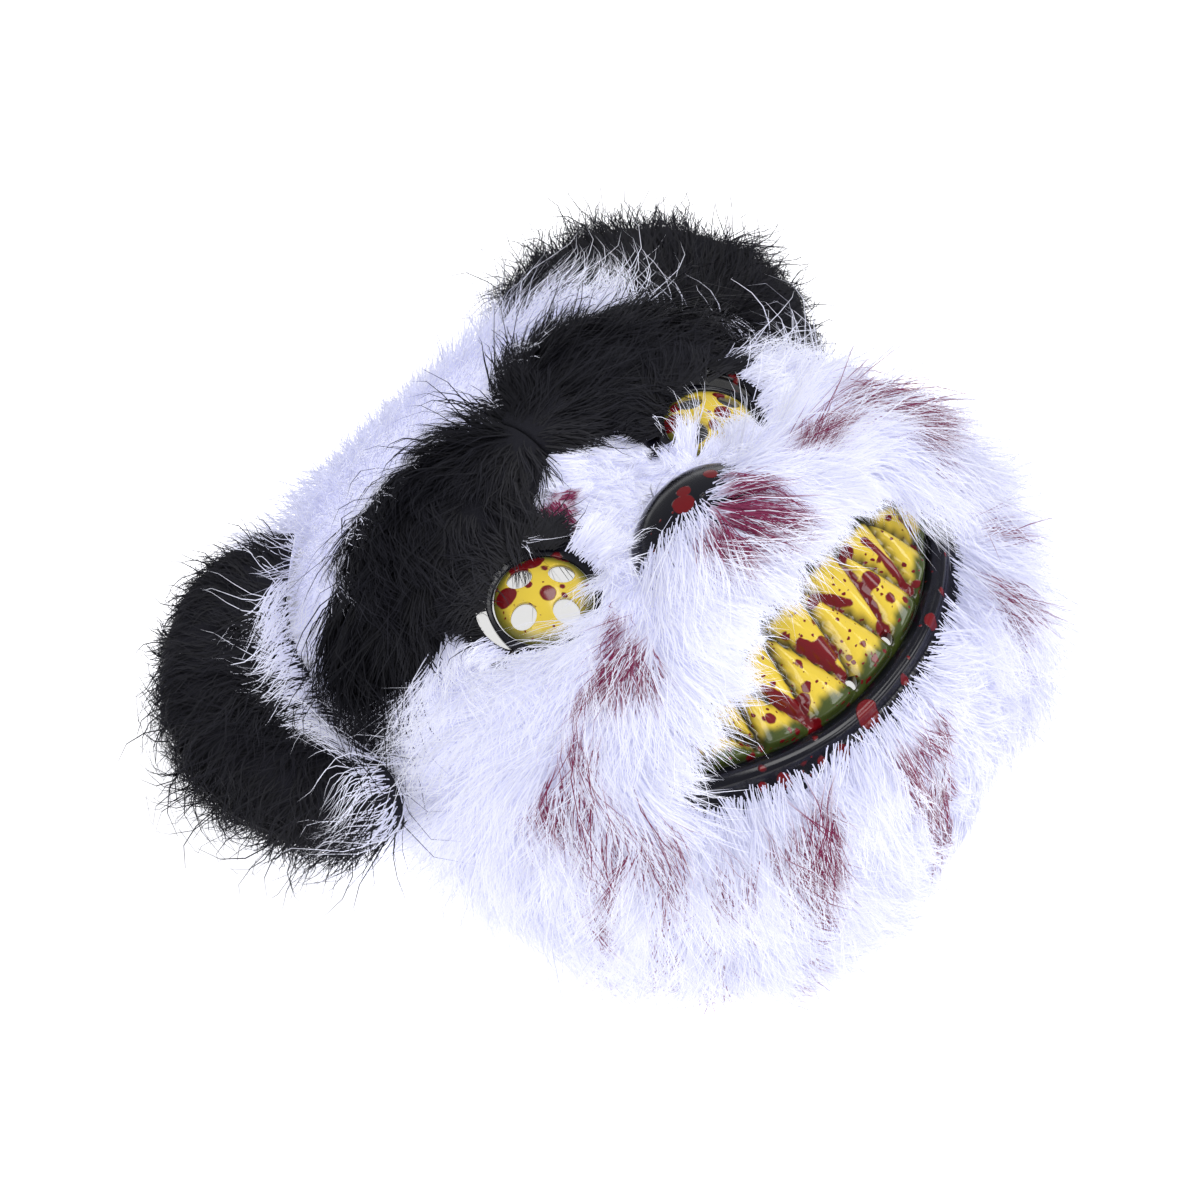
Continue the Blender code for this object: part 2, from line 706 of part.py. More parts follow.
def build_brow(side, word, eye_room):
    bm = bmesh.new()
    slab(bm, brow_grid(side, BROW_THICK * BROW_EDGE, BROW_THICK, 0.0), brow_grid(side, BROW_SEAT, BROW_SEAT, 0.0))
    brow = new_object("brow_patch_" + word, bm, "black_fur")
    chance = random.Random(31 + int(side))
    bm = bmesh.new()
    for x, share, long in (
        (16.0, 0.35, 17.0), (14.0, 0.75, 16.0), (34.0, 0.15, 18.0), (35.0, 0.52, 18.0),
        (34.0, 0.86, 17.0), (54.0, 0.22, 17.0), (55.0, 0.62, 17.0), (56.0, 0.92, 15.0),
    ):
        low = brow_edge(x, "low")
        y = low + (brow_edge(x, "high") - low) * share
        drop = 3.0 + chance.uniform(-2.0, 2.0)
        base = on_shell(x * side, y, BROW_THICK - 6.0)
        middle = on_shell((x + 0.5 * long) * side, y - 0.4 * drop, BROW_THICK - 1.4)
        tip = on_shell((x + long) * side, y - drop, BROW_THICK + 2.0)
        add_lock(bm, base, middle, tip, shell_normal(middle.x, middle.y), 5.0, 3.2)
    use_tool(brow, as_tool(new_object("brow_locks_" + word, bm)), "UNION")
    use_tool(brow, eye_room, "DIFFERENCE", "MANIFOLD")
    bm = bmesh.new()
    slab(bm, brow_grid(side, 34.0, 34.0, COAT_SEAT), brow_grid(side, -3.0, -3.0, COAT_SEAT))
    return as_tool(new_object("brow_room_" + word, bm))


def build_coats(brow_rooms, eye_rooms):
    """White fur in three pieces: forehead, face with muzzle, and jaw."""
    split_rows = (
        dict(x=0.0, y=53.0),
        dict(x=40.0, y=52.0),
        dict(x=66.0, y=44.0),
        dict(x=80.0, y=34.0),
        dict(x=92.0, y=27.0),
        dict(x=140.0, y=24.0),
    )
    right = [(row["x"], row["y"]) for row in split_rows]
    split = [(-x, y) for x, y in reversed(right[1:])] + right
    jaw_y = -49.0
    half_gap = 0.2
    regions = (
        dict(
            name="fur_forehead",
            outline=[(x, y + half_gap) for x, y in split] + [(140.0, 150.0), (-140.0, 150.0)],
            rings=(0.42, 0.58, 0.74), start=1.22, end=math.pi - 1.22, step=0.22, seed=11,
            length=0.10, width=4.6, rise=1.2,
        ),
        dict(
            name="fur_face",
            outline=[(-140.0, jaw_y + half_gap), (140.0, jaw_y + half_gap)]
            + [(x, y - half_gap) for x, y in reversed(split)],
            rings=(0.44, 0.58, 0.72, 0.86), start=-0.55, end=-0.03, step=0.20, seed=23,
            length=0.13, width=6.2, rise=3.0,
        ),
        dict(
            name="fur_jaw",
            outline=[(-140.0, -160.0), (140.0, -160.0), (140.0, jaw_y - half_gap), (-140.0, jaw_y - half_gap)],
            rings=(0.62, 0.74, 0.86), start=-math.pi + 0.62, end=-0.62, step=0.24, seed=37,
            length=0.12, width=6.2, rise=3.0,
        ),
    )
    mouth_room = room_over("mouth_room", lip_outline(1.0 + LIP_CLEAR / LIP_CORNER_REACH), -4.0, 40.0)
    nose_outline = ellipse(0.0, NOSE_Y, NOSE_HALF_X * 1.06 + 1.4, NOSE_HALF_Y + 1.6, 16)
    nose_room = prism("nose_room", nose_outline, 20.0, 160.0)
    for region in regions:
        coat = cap_skin(
            region["name"],
            lambda angle, walk: fur_surface(angle, walk, 0.0),
            lambda angle, walk: on_face(angle, walk, COAT_SEAT),
            FUR_FOOT,
            "white_fur",
        )
        sides = [(region["start"], region["end"])]
        if region["name"] == "fur_face":
            sides.append((math.pi - region["end"], math.pi - region["start"]))
        for number, (start, end) in enumerate(sides):
            locks = face_locks(
                "%s_locks_%d" % (region["name"], number), region["rings"], region["step"], start, end,
                region["length"], region["width"], region["rise"], region["seed"] + number,
            )
            use_tool(coat, locks, "UNION")
        use_tool(coat, prism(region["name"] + "_region", region["outline"], -20.0, 180.0), "INTERSECT")
        if region["name"] != "fur_jaw":
            for room in brow_rooms:
                use_tool(coat, room, "DIFFERENCE", "MANIFOLD")
        if region["name"] == "fur_face":
            use_tool(coat, nose_room, "DIFFERENCE", "MANIFOLD")
            for room in eye_rooms:
                use_tool(coat, room, "DIFFERENCE", "MANIFOLD")
        if region["name"] != "fur_forehead":
            use_tool(coat, mouth_room, "DIFFERENCE", "MANIFOLD")


def ear_point(side, turn, radius, height):
    out = math.cos(turn) * EAR_OUT * radius
    along = math.sin(turn) * EAR_ALONG * radius
    lean = math.sin(EAR_TILT) * out
    x = EAR_X + math.cos(EAR_TURN) * out - math.sin(EAR_TURN) * along
    y = EAR_Y + math.sin(EAR_TURN) * out + math.cos(EAR_TURN) * along
    return Vector((x * side, y, EAR_Z + height + lean))


def build_ear(side, word):
    bm = bmesh.new()
    turns = [2.0 * math.pi * i / EAR_SIDES for i in range(EAR_SIDES)]
    front = (
        dict(radius=0.0, height=0.5 - EAR_CUP / EAR_THICK),
        dict(radius=0.40, height=0.5 - 0.80 * EAR_CUP / EAR_THICK),
        dict(radius=0.66, height=0.5 - 0.25 * EAR_CUP / EAR_THICK),
        dict(radius=0.84, height=0.48),
        dict(radius=0.96, height=0.26),
        dict(radius=1.0, height=0.0),
        dict(radius=0.95, height=-0.28),
        dict(radius=0.78, height=-0.44),
        dict(radius=0.40, height=-0.5),
        dict(radius=0.0, height=-0.5),
    )
    rows = []
    for station in front:
        if station["radius"] == 0.0:
            rows.append([ear_point(side, 0.0, 0.0, station["height"] * EAR_THICK)])
        else:
            rows.append([ear_point(side, a, station["radius"], station["height"] * EAR_THICK) for a in turns])
    grid = add_rows(bm, rows)
    for first, second in zip(grid, grid[1:]):
        if len(first) == 1 or len(second) == 1:
            pole, ring = (first, second) if len(first) == 1 else (second, first)
            for i in range(EAR_SIDES):
                bm.faces.new((pole[0], ring[i], ring[(i + 1) % EAR_SIDES]))
        else:
            bridge_rows(bm, first, second)
    ear = new_object("ear_" + word, bm, "black_fur")

    chance = random.Random(53 + int(side))
    bm = bmesh.new()
    for i in range(9):
        turn = -1.15 + 2.3 * i / 8.0 + chance.uniform(-0.05, 0.05)
        height = chance.uniform(-3.0, 6.0)
        base = ear_point(side, turn, 0.86, height)
        middle = ear_point(side, turn + 0.06, 1.0, height + 1.0)
        tip = ear_point(side, turn + 0.20, 1.11, height + 3.0)
        add_lock(bm, base, middle, tip, Vector((0.0, 0.0, 1.0)), 4.2, 4.2)
    use_tool(ear, as_tool(new_object("ear_locks_" + word, bm)), "UNION")
    return ear


def build_ears():
    head = head_solid("ear_seat", lambda angle, walk: fur_surface(angle, walk, GAP), -10.0)
    for side, word in ((-1.0, "left"), (1.0, "right")):
        ear = build_ear(side, word)
        use_tool(ear, head, "DIFFERENCE")


def build_strap():
    bm = bmesh.new()
    count = 17
    upper = []
    lower = []
    for i in range(count):
        share = i / (count - 1)
        angle = STRAP_START + (math.pi - 2.0 * STRAP_START) * share
        slack = 1.0 + 5.0 * math.sin(math.pi * share) ** 1.5
        for rows, height in ((upper, STRAP_FOOT + STRAP_WIDTH), (lower, STRAP_FOOT)):
            wall = on_face(angle, 1.0, -SHELL_WALL - GAP - slack)
            away = shell_normal(wall.x * 2.0, wall.y * 2.0)
            away.z = 0.0
            inner = wall - away.normalized() * STRAP_THICK
            rows.append([Vector((wall.x, wall.y, height)), Vector((inner.x, inner.y, height))])
    slab(bm, upper, lower)
    new_object("elastic_strap", bm, "elastic_black")


def make_materials():
    for row in COLOURS:
        material = bpy.data.materials.new(row["name"])
        material.use_nodes = True
        shader = material.node_tree.nodes["Principled BSDF"]
        shader.inputs["Base Color"].default_value = (*row["colour"], 1.0)
        shader.inputs["Roughness"].default_value = row["roughness"]


for old in list(bpy.data.objects):
    bpy.data.objects.remove(old, do_unlink=True)

FRAME = bpy.data.objects.new("mask_frame", None)
FRAME.location.y = FRAME_SHIFT_Y * MM
bpy.context.scene.collection.objects.link(FRAME)

make_materials()
build_shell()
build_nose()
build_teeth()
build_lip()
brows = []
eyes = []
for eye_side, eye_word in ((-1.0, "left"), (1.0, "right")):
    build_eye(eye_side, eye_word)
    room_outline = ellipse(EYE_X * eye_side, EYE_Y, SOCKET_RADIUS + 1.6, SOCKET_RADIUS + 1.4, 20)
    eyes.append(prism("eye_room_" + eye_word, room_outline, 20.0, 160.0))
    brows.append(build_brow(eye_side, eye_word, eyes[-1]))
build_coats(brows, eyes)
build_ears()
build_strap()
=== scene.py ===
# Furry animal mask: long white and black fur over a hard pierced face, lying on its open back.
import json
import math

import bmesh
import bpy
import numpy as np
from mathutils import Matrix, Vector
from mathutils.kdtree import KDTree

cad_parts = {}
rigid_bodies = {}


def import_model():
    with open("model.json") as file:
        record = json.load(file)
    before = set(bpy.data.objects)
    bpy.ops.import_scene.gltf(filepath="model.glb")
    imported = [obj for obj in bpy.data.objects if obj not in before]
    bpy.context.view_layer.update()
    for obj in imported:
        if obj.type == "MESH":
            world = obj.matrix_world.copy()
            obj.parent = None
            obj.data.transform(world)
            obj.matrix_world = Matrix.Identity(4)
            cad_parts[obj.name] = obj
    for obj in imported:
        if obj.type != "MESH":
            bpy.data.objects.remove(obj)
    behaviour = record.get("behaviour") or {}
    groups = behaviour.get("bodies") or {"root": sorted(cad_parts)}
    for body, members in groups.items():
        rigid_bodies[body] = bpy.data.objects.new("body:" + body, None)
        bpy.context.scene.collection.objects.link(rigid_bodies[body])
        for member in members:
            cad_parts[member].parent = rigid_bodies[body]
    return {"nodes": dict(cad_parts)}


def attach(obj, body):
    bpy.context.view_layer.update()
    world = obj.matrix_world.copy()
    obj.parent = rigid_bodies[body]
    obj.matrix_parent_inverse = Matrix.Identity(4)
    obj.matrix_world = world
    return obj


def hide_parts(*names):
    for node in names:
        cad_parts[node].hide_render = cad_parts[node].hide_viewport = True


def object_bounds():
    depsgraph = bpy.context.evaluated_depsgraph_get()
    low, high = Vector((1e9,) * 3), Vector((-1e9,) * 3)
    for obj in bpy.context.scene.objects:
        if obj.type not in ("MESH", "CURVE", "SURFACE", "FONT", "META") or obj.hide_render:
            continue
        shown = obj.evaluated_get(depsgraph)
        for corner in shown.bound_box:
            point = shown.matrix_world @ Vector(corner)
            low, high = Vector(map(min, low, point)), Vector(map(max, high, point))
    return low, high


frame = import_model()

nodes = frame["nodes"]
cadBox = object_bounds()
scene = bpy.context.scene
mm = 0.001
shiftY = 1.0        # the face's own middle lies this far from the origin
sides = ((-1.0, "left"), (1.0, "right"))
print("frame loaded:", len(nodes), "pieces")

# shape of the hard face under the fur, in mm

face = dict(side=88.0, chin=108.0, top=112.0, height=91.0, mean=98.0,
            jawPower=2.3, browPower=3.0, sidePower=4.5, soft=0.36)
faceForms = (
    dict(x=0.0, y=-35.0, wide=62.0, tall=36.0, height=15.0),    # muzzle
    dict(x=0.0, y=-16.0, wide=22.0, tall=17.0, height=4.0),     # nose seat
    dict(x=41.0, y=7.0, wide=19.0, tall=19.0, height=-6.0),     # eye hollows
    dict(x=72.0, y=-40.0, wide=20.0, tall=30.0, height=4.0),    # cheeks
)
fur = dict(depth=17.0, forehead=11.0, foreheadFrom=15.0, foreheadTo=68.0,
           foot=0.8, footShare=0.38, fullHeight=36.0)
furForms = (
    dict(x=41.0, y=12.0, wide=22.0, tall=20.0, height=-8.0),
    dict(x=0.0, y=22.0, wide=16.0, tall=18.0, height=-8.0),
    dict(x=0.0, y=-30.0, wide=52.0, tall=26.0, height=-4.0),
    dict(x=0.0, y=-118.0, wide=60.0, tall=26.0, height=2.0),
    dict(x=80.0, y=-30.0, wide=24.0, tall=45.0, height=9.0),
)


def smoothStep(value, low, high):
    t = np.clip((np.asarray(value, float) - low) / (high - low), 0.0, 1.0)
    return t * t * (3.0 - 2.0 * t)


def formSum(x, y, forms):
    total = 0.0
    for form in forms:
        sideX = np.abs(x) if form["x"] > 0.0 else x
        across = (sideX - form["x"]) / form["wide"]
        along = (y - form["y"]) / form["tall"]
        total = total + form["height"] * np.exp(-0.5 * (across ** 2 + along ** 2))
    return total


def rimShare(x, y):
    power = np.where(y > 0.0, face["browPower"], face["jawPower"])
    length = np.where(y > 0.0, face["top"], face["chin"])
    return (np.abs(x / face["side"]) ** power + np.abs(y / length) ** power) ** (1.0 / power)


def shellHeight(x, y):
    share = np.minimum(rimShare(x, y), 1.0)
    return (face["height"] + formSum(x, y, faceForms)) * (1.0 - share ** face["sidePower"]) ** face["soft"]


nearRim = 0.9985        # the slope has no end at the rim itself


def shellNormal(x, y):
    share = rimShare(x, y)
    shrink = np.where(share > nearRim, nearRim / np.maximum(share, 1e-6), 1.0)
    x, y, step = x * shrink, y * shrink, 0.02
    slopeX = (shellHeight(x + step, y) - shellHeight(x - step, y)) / (2.0 * step)
    slopeY = (shellHeight(x, y + step) - shellHeight(x, y - step)) / (2.0 * step)
    normal = np.stack([-slopeX, -slopeY, np.ones_like(slopeX)], -1)
    return normal / np.linalg.norm(normal, axis=-1, keepdims=True)


def onShell(x, y, lift):
    x, y, lift = np.broadcast_arrays(np.asarray(x, float), np.asarray(y, float), np.asarray(lift, float))
    return np.stack([x, y, shellHeight(x, y)], -1) + shellNormal(x, y) * lift[..., None]


def profileShares():
    fine = np.sin(np.linspace(0.0, math.pi / 2.0, 400))
    heights = face["height"] * (1.0 - fine ** face["sidePower"]) ** face["soft"]
    walked = np.concatenate(([0.0], np.cumsum(np.hypot(np.diff(fine * face["mean"]), np.diff(heights)))))
    return fine, walked / walked[-1]


shares, walks = profileShares()


def footOn(angle, walk):
    share = np.interp(walk, walks, shares)
    up = np.sin(angle) > 0.0
    power = np.where(up, face["browPower"], face["jawPower"])
    length = np.where(up, face["top"], face["chin"])
    reach = np.abs(np.cos(angle) / face["side"]) ** power + np.abs(np.sin(angle) / length) ** power
    radius = share * reach ** (-1.0 / power)
    return radius * np.cos(angle), radius * np.sin(angle)


def furDepth(x, y):
    thinner = smoothStep(y, fur["foreheadFrom"], fur["foreheadTo"])
    depth = fur["depth"] + (fur["forehead"] - fur["depth"]) * thinner + formSum(x, y, furForms)
    full = smoothStep(shellHeight(x, y), 0.0, fur["fullHeight"])
    return depth * (fur["footShare"] + (1.0 - fur["footShare"]) * full)


# mesh helpers; points are in mm on the part and become metres in the frame

def makeObject(name, points, faces, material=None, smooth=True):
    mesh = bpy.data.meshes.new(name)
    world = (np.asarray(points, float).reshape(-1, 3) + (0.0, shiftY, 0.0)) * mm
    mesh.from_pydata(world.tolist(), [], faces)
    mesh.validate()
    if smooth:
        mesh.shade_smooth()
    if material:
        mesh.materials.append(material)
    made = bpy.data.objects.new(name, mesh)
    scene.collection.objects.link(made)
    return made


def gridFaces(rows, columns, start=0, closed=False, flip=False):
    faces = []
    for i in range(rows - 1):
        for j in range(columns if closed else columns - 1):
            k = (j + 1) % columns
            quad = (start + i * columns + j, start + i * columns + k,
                    start + (i + 1) * columns + k, start + (i + 1) * columns + j)
            faces.append(quad[::-1] if flip else quad)
    return faces


# closed solid between two grids of the same size
def thickSheet(name, upper, lower, material=None):
    rows, columns = upper.shape[:2]
    count = rows * columns
    faces = gridFaces(rows, columns) + gridFaces(rows, columns, start=count, flip=True)
    for i in range(rows - 1):
        for j, turned in ((0, False), (columns - 1, True)):
            first, second = i * columns + j, (i + 1) * columns + j
            quad = (first, second, count + second, count + first)
            faces.append(quad[::-1] if turned else quad)
    for j in range(columns - 1):
        for i, turned in ((0, True), (rows - 1, False)):
            first, second = i * columns + j, i * columns + j + 1
            quad = (first, second, count + second, count + first)
            faces.append(quad[::-1] if turned else quad)
    made = makeObject(name, np.concatenate([upper.reshape(-1, 3), lower.reshape(-1, 3)]), faces, material)
    return facesOut(made)


def facesOut(made):
    work = bmesh.new()
    work.from_mesh(made.data)
    bmesh.ops.remove_doubles(work, verts=work.verts, dist=1e-6)
    bmesh.ops.recalc_face_normals(work, faces=work.faces)
    work.to_mesh(made.data)
    work.free()
    return made


# turns a profile of (radius, height) round the axis of place(x, y, z)
def spunShape(name, profile, segments, place, material=None, closed=False):
    turns = np.linspace(0.0, 2.0 * math.pi, segments, endpoint=False)
    rows = np.array([[(r * math.cos(a), r * math.sin(a), h) for a in turns] for r, h in profile])
    points = place(rows[..., 0], rows[..., 1], rows[..., 2])
    if closed:
        points = np.concatenate([points, points[:1]])
    faces = gridFaces(len(points), segments, closed=True)
    if not closed:
        faces += endCaps(len(points), segments)
    return facesOut(makeObject(name, points, faces, material))


def endCaps(rows, columns):
    return [tuple(range(columns))[::-1], tuple((rows - 1) * columns + j for j in range(columns))]


# closed prism between two heights over an outline of (x, y)
def boxOver(name, outline, low, high):
    outline = np.asarray(outline, float)
    count = len(outline)
    points = [(x, y, z) for z in (low, high) for x, y in outline]
    faces = gridFaces(2, count, closed=True)
    faces += [tuple(range(count)), tuple(range(2 * count - 1, count - 1, -1))]
    return facesOut(makeObject(name, points, faces, smooth=False))


# closed solid over an outline, between two lifts along the face's normals
def shellRoom(name, outline, low, high):
    outline = np.asarray(outline, float)
    count = len(outline)
    middle = outline.mean(0)
    points = []
    for lift in (low, high):
        points += onShell(outline[:, 0], outline[:, 1], lift).tolist()
    for lift in (low, high):
        points += onShell(middle[:1], middle[1:], lift).tolist()
    faces = gridFaces(2, count, closed=True)
    for layer in (0, 1):
        pole = 2 * count + layer
        faces += [(pole, layer * count + i, layer * count + (i + 1) % count) for i in range(count)]
    return facesOut(makeObject(name, points, faces, smooth=False))


def ovalOutline(x, y, halfX, halfY, count):
    turns = np.linspace(0.0, 2.0 * math.pi, count, endpoint=False)
    return np.stack([x + halfX * np.cos(turns), y + halfY * np.sin(turns)], -1)


# applies Boolean tools to a piece and removes them
def carve(made, tools, operation="DIFFERENCE", solver="MANIFOLD"):
    for tool in tools:
        modifier = made.modifiers.new(tool.name, "BOOLEAN")
        modifier.object, modifier.operation, modifier.solver = tool, operation, solver
    finish = made.data.materials[0] if made.data.materials else None
    plainMesh(made)
    oneMaterial(made.data, finish)
    for tool in tools:
        bpy.data.objects.remove(tool, do_unlink=True)
    return made


def oneMaterial(mesh, material):
    mesh.materials.clear()
    mesh.materials.append(material)
    mesh.polygons.foreach_set("material_index", np.zeros(len(mesh.polygons), np.int32))


# bakes the modifiers into the piece's own mesh
def plainMesh(made):
    graph = bpy.context.evaluated_depsgraph_get()
    mesh = bpy.data.meshes.new_from_object(made.evaluated_get(graph))
    made.modifiers.clear()
    old, made.data = made.data, mesh
    mesh.name = made.name
    if not old.users:
        bpy.data.meshes.remove(old)
    return made


def meshPoints(mesh):
    flat = np.zeros(len(mesh.vertices) * 3, np.float32)
    mesh.vertices.foreach_get("co", flat)
    return flat.reshape(-1, 3).astype(float) / mm - (0.0, shiftY, 0.0)


def putFloat(mesh, name, values):
    layer = mesh.attributes.get(name) or mesh.attributes.new(name, "FLOAT", "POINT")
    layer.data.foreach_set("value", np.asarray(values, np.float32).ravel())


def putVector(mesh, name, values):
    layer = mesh.attributes.get(name) or mesh.attributes.new(name, "FLOAT_VECTOR", "POINT")
    layer.data.foreach_set("vector", np.asarray(values, np.float32).ravel())


def finishPiece(made, slotName, *replaced):
    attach(made, "root")
    if replaced:
        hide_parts(*replaced)
    return made


# shader tools

def nodeTools(tree):
    def put(kind, **settings):
        node = tree.nodes.new(kind)
        for key, value in settings.items():
            setattr(node, key, value)
        return node

    def plug(socket, value):
        if isinstance(value, bpy.types.NodeSocket):
            tree.links.new(value, socket)
        elif value is not None:
            socket.default_value = value

    def calc(operation, *values, clamp=False):
        node = put("ShaderNodeMath", operation=operation, use_clamp=clamp)
        for socket, value in zip(node.inputs, values):
            plug(socket, value)
        return node.outputs[0]

    def vector(operation, *values):
        node = put("ShaderNodeVectorMath", operation=operation)
        if operation == "SCALE":
            plug(node.inputs[0], values[0])
            plug(node.inputs["Scale"], values[1])
        else:
            for socket, value in zip(node.inputs, values):
                plug(socket, value)
        return node.outputs["Value" if operation in ("DOT_PRODUCT", "LENGTH") else "Vector"]

    return put, plug, calc, vector


def mixColour(tree, share, first, second):
    put, plug = nodeTools(tree)[:2]
    node = put("ShaderNodeMix", data_type="RGBA")
    plug(node.inputs[0], share)
    plug(node.inputs[6], first)
    plug(node.inputs[7], second)
    return node.outputs[2]


def newGroup(name, inputs, outputs):
    tree = bpy.data.node_groups.new(name, "ShaderNodeTree")
    kinds = dict(value="NodeSocketFloat", colour="NodeSocketColor", vector="NodeSocketVector")
    for title, kind, value in inputs:
        socket = tree.interface.new_socket(name=title, in_out="INPUT", socket_type=kinds[kind])
        if value is not None:
            socket.default_value = value
    for title, kind in outputs:
        tree.interface.new_socket(name=title, in_out="OUTPUT", socket_type=kinds[kind])
    return tree, tree.nodes.new("NodeGroupInput"), tree.nodes.new("NodeGroupOutput")


def newMaterial(name, colour, roughness):
    material = bpy.data.materials.new(name)
    material.use_nodes = True
    shader = material.node_tree.nodes["Principled BSDF"]
    shader.inputs["Base Color"].default_value = (*colour, 1.0)
    shader.inputs["Roughness"].default_value = roughness
    return material, material.node_tree, shader


# value that the blood layer has at a blot's edge, and the mm in which it falls by 1
blotEdge = dict(value=0.42, fade=3.0)


# round drops of two sizes with ragged smears between them
def buildSplatter():
    tree, given, result = newGroup("bloodSplatter", (
        ("Vector", "vector", None), ("Drop Spacing", "value", 7.0), ("Drop Size", "value", 0.3),
        ("Smear", "value", 0.5), ("Painted", "value", 0.0)), (("Mask", "value"), ("Height", "value")))
    put, plug, calc, vector = nodeTools(tree)
    source = given.outputs
    wobble = put("ShaderNodeTexNoise", noise_dimensions="3D")
    plug(wobble.inputs["Vector"], source["Vector"])
    plug(wobble.inputs["Scale"], 420.0)
    wobble.inputs["Detail"].default_value = 2.0
    sway = vector("SUBTRACT", wobble.outputs["Color"], (0.5, 0.5, 0.5))
    shifted = vector("ADD", source["Vector"], vector("SCALE", sway, 0.0016))
    masks = []
    for share, size in ((1.0, 1.0), (0.42, 0.8)):
        cells = put("ShaderNodeTexVoronoi", feature="F1", voronoi_dimensions="3D")
        plug(cells.inputs["Vector"], shifted)
        plug(cells.inputs["Scale"], calc("DIVIDE", 1000.0 / share, source["Drop Spacing"]))
        parts = put("ShaderNodeSeparateColor")
        plug(parts.inputs[0], cells.outputs["Color"])
        chosen = calc("POWER", parts.outputs[0], 2.2)
        radius = calc("MULTIPLY", calc("MULTIPLY", chosen, source["Drop Size"]), size * 1.5)
        edge = calc("SUBTRACT", radius, cells.outputs["Distance"])
        masks.append(calc("MULTIPLY", edge, 14.0, clamp=True))
    smear = put("ShaderNodeTexNoise", noise_dimensions="3D")
    plug(smear.inputs["Vector"], source["Vector"])
    smear.inputs["Scale"].default_value = 95.0
    smear.inputs["Detail"].default_value = 3.0
    uneven = calc("MULTIPLY", calc("SUBTRACT", smear.outputs["Fac"], 0.5), 1.3)
    ragged = calc("ADD", source["Painted"], uneven)
    masks.append(calc("MULTIPLY", calc("SUBTRACT", ragged, blotEdge["value"]), 9.0, clamp=True))
    least = calc("SUBTRACT", 1.0, calc("MULTIPLY", source["Smear"], 0.45))
    patch = calc("SUBTRACT", smear.outputs["Fac"], least)
    masks.append(calc("MULTIPLY", patch, 20.0, clamp=True))
    total = masks[0]
    for mask in masks[1:]:
        total = calc("MAXIMUM", total, mask)
    plug(result.inputs["Mask"], total)
    plug(result.inputs["Height"], total)
    return tree


# fine uneven surface of cheap moulded plastic
def buildGrain():
    tree, given, result = newGroup("mouldedGrain", (
        ("Vector", "vector", None), ("Scale", "value", 300.0), ("Low", "value", 0.1), ("High", "value", 0.3)),
        (("Roughness", "value"), ("Height", "value")))
    put, plug = nodeTools(tree)[:2]
    noise = put("ShaderNodeTexNoise", noise_dimensions="3D")
    plug(noise.inputs["Vector"], given.outputs["Vector"])
    plug(noise.inputs["Scale"], given.outputs["Scale"])
    noise.inputs["Detail"].default_value = 4.0
    spread = put("ShaderNodeMapRange")
    plug(spread.inputs["Value"], noise.outputs["Fac"])
    spread.inputs["From Min"].default_value = 0.3
    spread.inputs["From Max"].default_value = 0.7
    plug(spread.inputs["To Min"], given.outputs["Low"])
    plug(spread.inputs["To Max"], given.outputs["High"])
    plug(result.inputs["Roughness"], spread.outputs["Result"])
    plug(result.inputs["Height"], noise.outputs["Fac"])
    return tree


# colour of a strand from its root to its tip: the darker, bluer root colour is painted shade deep in the fur;
# some strands darker at random, and stain
def buildFurShade():
    tree, given, result = newGroup("furShade", (
        ("Root", "colour", None), ("Tip", "colour", None), ("Stain", "colour", None),
        ("Along", "value", 0.0), ("Tone", "value", 0.5), ("Stained", "value", 0.0),
        ("Variation", "value", 0.2)),
        (("Colour", "colour"),))
    put, plug, calc, vector = nodeTools(tree)
    source = given.outputs
    # painted shade: the strand's colour darkens towards its root
    base = mixColour(tree, calc("POWER", source["Along"], 0.7, clamp=True), source["Root"], source["Tip"])
    darker = calc("SUBTRACT", 1.0, calc("MULTIPLY", source["Variation"], source["Tone"]))
    scaled = vector("SCALE", base, darker)
    plug(result.inputs["Colour"], mixColour(tree, source["Stained"], scaled, source["Stain"]))
    return tree


groups = dict(splatter=buildSplatter(), grain=buildGrain(), furShade=buildFurShade())


def useGroup(tree, which, **values):
    node = tree.nodes.new("ShaderNodeGroup")
    node.node_tree = groups[which]
    for key, value in values.items():
        socket = node.inputs[key]
        if isinstance(value, bpy.types.NodeSocket):
            tree.links.new(value, socket)
        else:
            socket.default_value = value
    return node


def objectPlace(tree):
    return tree.nodes.new("ShaderNodeTexCoord").outputs["Object"]


def readAttribute(tree, name):
    node = tree.nodes.new("ShaderNodeAttribute")
    node.attribute_name = name
    return node.outputs["Fac"]


def addBump(tree, shader, height, strength, distance):
    bump = tree.nodes.new("ShaderNodeBump")
    bump.inputs["Strength"].default_value = strength
    bump.inputs["Distance"].default_value = distance
    tree.links.new(height, bump.inputs["Height"])
    tree.links.new(bump.outputs["Normal"], shader.inputs["Normal"])
    return bump


# root colours are painted shade deep in the fur; the white tip is the fur's own pale colour with painted
# lavender shade tinted in; glow is painted glow
whiteLooks = dict(root=(0.52, 0.53, 0.70), tip=(0.86, 0.87, 0.97), stain=(0.16, 0.020, 0.062),
                  variation=0.16, gloss=0.2, glow=0.39)
blackLooks = dict(root=(0.003, 0.003, 0.005), tip=(0.013, 0.013, 0.022), stain=(0.19, 0.022, 0.060),
                  variation=0.5, gloss=0.3, glow=0.0)


